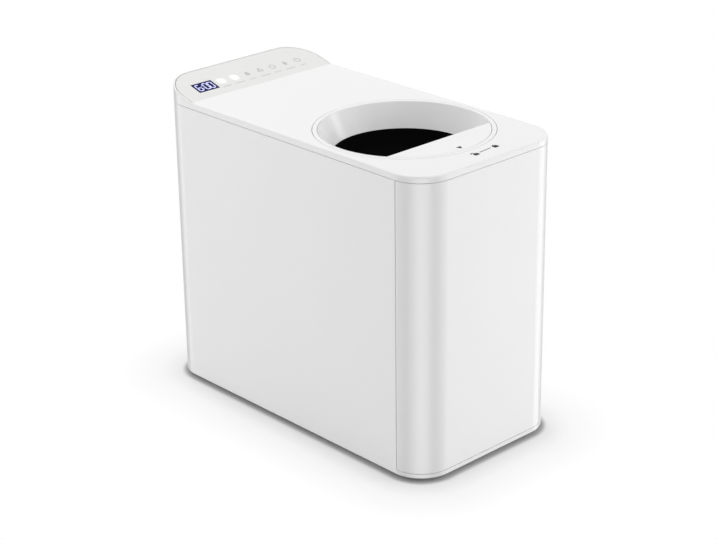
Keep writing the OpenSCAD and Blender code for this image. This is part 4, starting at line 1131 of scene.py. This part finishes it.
def distance_from_cabinet(material):
    """How far a point of the floor is from the foot of the cabinet, in metres."""
    place = add(material, "ShaderNodeNewGeometry").outputs["Position"]
    absolute = add(material, "ShaderNodeVectorMath", operation="ABSOLUTE")
    beyond = add(material, "ShaderNodeVectorMath", operation="SUBTRACT")
    clear = add(material, "ShaderNodeVectorMath", operation="MAXIMUM")
    length = add(material, "ShaderNodeVectorMath", operation="LENGTH")
    beyond.inputs[1].default_value = (HALF_W - CORNER_R, HALF_D - CORNER_R, 1)
    clear.inputs[1].default_value = (0, 0, 0)
    link(material, place, absolute.inputs[0])
    link(material, absolute.outputs["Vector"], beyond.inputs[0])
    link(material, beyond.outputs["Vector"], clear.inputs[0])
    link(material, clear.outputs["Vector"], length.inputs[0])
    return length.outputs["Value"]


# Distance from the foot in metres, share of plain white that the camera sees, and tone of the paper, which
# is darker next to the foot as a painted contact shadow
FLOOR_FADE = [
    (0.0, 0.0, 0.48),
    (0.002, 0.0, 0.52),
    (0.007, 0.3, 0.85),
    (0.03, 0.72, 0.85),
    (0.075, 1.0, 0.85),
]


def grey_ramp(material, stops):
    """A ramp node with a grey level at each of the places, from 0 to 1."""
    ramp = add(material, "ShaderNodeValToRGB")
    for _ in range(len(stops) - 2):
        ramp.color_ramp.elements.new(0.5)
    for stop, (place, level) in zip(ramp.color_ramp.elements, stops):
        stop.position = place
        stop.color = (level, level, level, 1)
    return ramp


def by_distance(material, values, reach):
    """A grey that follows a table of (distance, value) from the foot of the cabinet."""
    spread = add(material, "ShaderNodeMapRange")
    spread.inputs["From Min"].default_value = CORNER_R
    spread.inputs["From Max"].default_value = CORNER_R + reach
    ramp = grey_ramp(material, [(distance / reach, value) for distance, value in values])
    link(material, distance_from_cabinet(material), spread.inputs["Value"])
    link(material, spread.outputs["Result"], ramp.inputs["Fac"])
    return ramp.outputs["Color"]


def make_floor_material():
    """White paper: it holds the real shadow round the foot plus a painted contact shadow in its tone there,
    and past that it is the picture's white.
    """
    material, shader = new_material("floor", (0.85, 0.85, 0.85), 0.9, Specular_IOR_Level=0.0)
    output = material.node_tree.nodes["Material Output"]
    white = add(material, "ShaderNodeEmission", Strength=1.0)
    rays = add(material, "ShaderNodeLightPath")
    share = add(material, "ShaderNodeMath", operation="MULTIPLY")
    mix = add(material, "ShaderNodeMixShader")
    reach = FLOOR_FADE[-1][0]
    whiteness = by_distance(material, [(d, w) for d, w, _ in FLOOR_FADE], reach)
    # The paper's tone, with a painted contact shadow that darkens it next to the foot
    paper_tone_and_painted_shadow = by_distance(material, [(d, t) for d, _, t in FLOOR_FADE], reach)
    link(material, whiteness, share.inputs[0])
    link(material, paper_tone_and_painted_shadow, shader.inputs["Base Color"])
    link(material, rays.outputs["Is Camera Ray"], share.inputs[1])
    link(material, share.outputs["Value"], mix.inputs["Fac"])
    link(material, shader.outputs["BSDF"], mix.inputs[1])
    link(material, white.outputs["Emission"], mix.inputs[2])
    link(material, mix.outputs["Shader"], output.inputs["Surface"])
    return material


def make_floor():
    """A square of the paper, which gloss doesn't show."""
    corners = [(-1, -1), (1, -1), (1, 1), (-1, 1)]
    mesh = bmesh.new()
    mesh.faces.new([mesh.verts.new((x * FLOOR_SIZE, y * FLOOR_SIZE, 0)) for x, y in corners])
    floor = make_object("floor", mesh)
    floor.visible_glossy = False
    floor.data.materials.append(make_floor_material())


# Height of a direction, from -1 straight down to 1 straight up, and how far the walls' pattern gives
# way there to the plain ceiling level
PLAIN_PART = [(-0.8, 1), (-0.5, 0), (-0.1, 0), (0.15, 1)]


def wall_pattern(world):
    """Brightness of the walls by azimuth, and the plain level above and far below them."""
    direction = add(world, "ShaderNodeTexCoord").outputs["Generated"]
    parts = add(world, "ShaderNodeSeparateXYZ")
    azimuth = add(world, "ShaderNodeMath", operation="ARCTAN2")
    turn = add(world, "ShaderNodeMapRange")
    turn.inputs["From Min"].default_value = -math.pi
    turn.inputs["From Max"].default_value = math.pi
    walls = grey_ramp(world, [((angle + 180) / 360, level / WALL_TOP) for angle, level in WALLS])
    height = add(world, "ShaderNodeMath", operation="MULTIPLY_ADD")
    height.inputs[1].default_value = 0.5
    height.inputs[2].default_value = 0.5
    plain = grey_ramp(world, [((rise + 1) / 2, share) for rise, share in PLAIN_PART])
    mix = add(world, "ShaderNodeMix", data_type="RGBA")
    mix.inputs["B"].default_value = (CEILING / WALL_TOP,) * 3 + (1,)
    link(world, direction, parts.inputs["Vector"])
    link(world, parts.outputs["Y"], azimuth.inputs[0])
    link(world, parts.outputs["X"], azimuth.inputs[1])
    link(world, azimuth.outputs["Value"], turn.inputs["Value"])
    link(world, turn.outputs["Result"], walls.inputs["Fac"])
    link(world, parts.outputs["Z"], height.inputs[0])
    link(world, height.outputs["Value"], plain.inputs["Fac"])
    link(world, plain.outputs["Color"], mix.inputs["Factor"])
    link(world, walls.outputs["Color"], mix.inputs["A"])
    return mix.outputs["Result"]


def make_world():
    """Even daylight for the surfaces, the walls and ceiling for the gloss, and white for the camera."""
    world = bpy.data.worlds.new("studio")
    world.use_nodes = True
    daylight = world.node_tree.nodes["Background"]
    daylight.inputs["Color"].default_value = (1, 1, 1, 1)
    daylight.inputs["Strength"].default_value = DAYLIGHT
    shown = add(world, "ShaderNodeBackground", Strength=WALL_TOP)
    white = add(world, "ShaderNodeBackground", Strength=1.0)
    white.inputs["Color"].default_value = (1, 1, 1, 1)
    rays = add(world, "ShaderNodeLightPath")
    gloss = add(world, "ShaderNodeMixShader")
    seen = add(world, "ShaderNodeMixShader")
    link(world, wall_pattern(world), shown.inputs["Color"])
    link(world, rays.outputs["Is Glossy Ray"], gloss.inputs["Fac"])
    link(world, daylight.outputs["Background"], gloss.inputs[1])
    link(world, shown.outputs["Background"], gloss.inputs[2])
    link(world, rays.outputs["Is Camera Ray"], seen.inputs["Fac"])
    link(world, gloss.outputs["Shader"], seen.inputs[1])
    link(world, white.outputs["Background"], seen.inputs[2])
    link(world, seen.outputs["Shader"], world.node_tree.nodes["World Output"].inputs["Surface"])
    bpy.context.scene.world = world
    bpy.context.scene.view_settings.view_transform = "Standard"


def make_lamp(name, azimuth, height_angle, distance, width, height, watts, in_gloss):
    """A soft box that looks at the middle of the cabinet."""
    azimuth, height_angle = math.radians(azimuth), math.radians(height_angle)
    flat = distance * math.cos(height_angle)
    away = Vector((flat * math.cos(azimuth), flat * math.sin(azimuth), distance * math.sin(height_angle)))
    data = bpy.data.lights.new(name, "AREA")
    data.shape = "RECTANGLE"
    data.size = width
    data.size_y = height
    data.energy = watts
    lamp = bpy.data.objects.new(name, data)
    bpy.context.scene.collection.objects.link(lamp)
    lamp.location = away + Vector((0, 0, TOP_Z / 2))
    lamp.rotation_mode = "QUATERNION"
    lamp.rotation_quaternion = away.to_track_quat("Z", "Y")
    lamp.visible_glossy = in_gloss


make_floor()
make_world()
for row in LAMPS:
    make_lamp(*row)
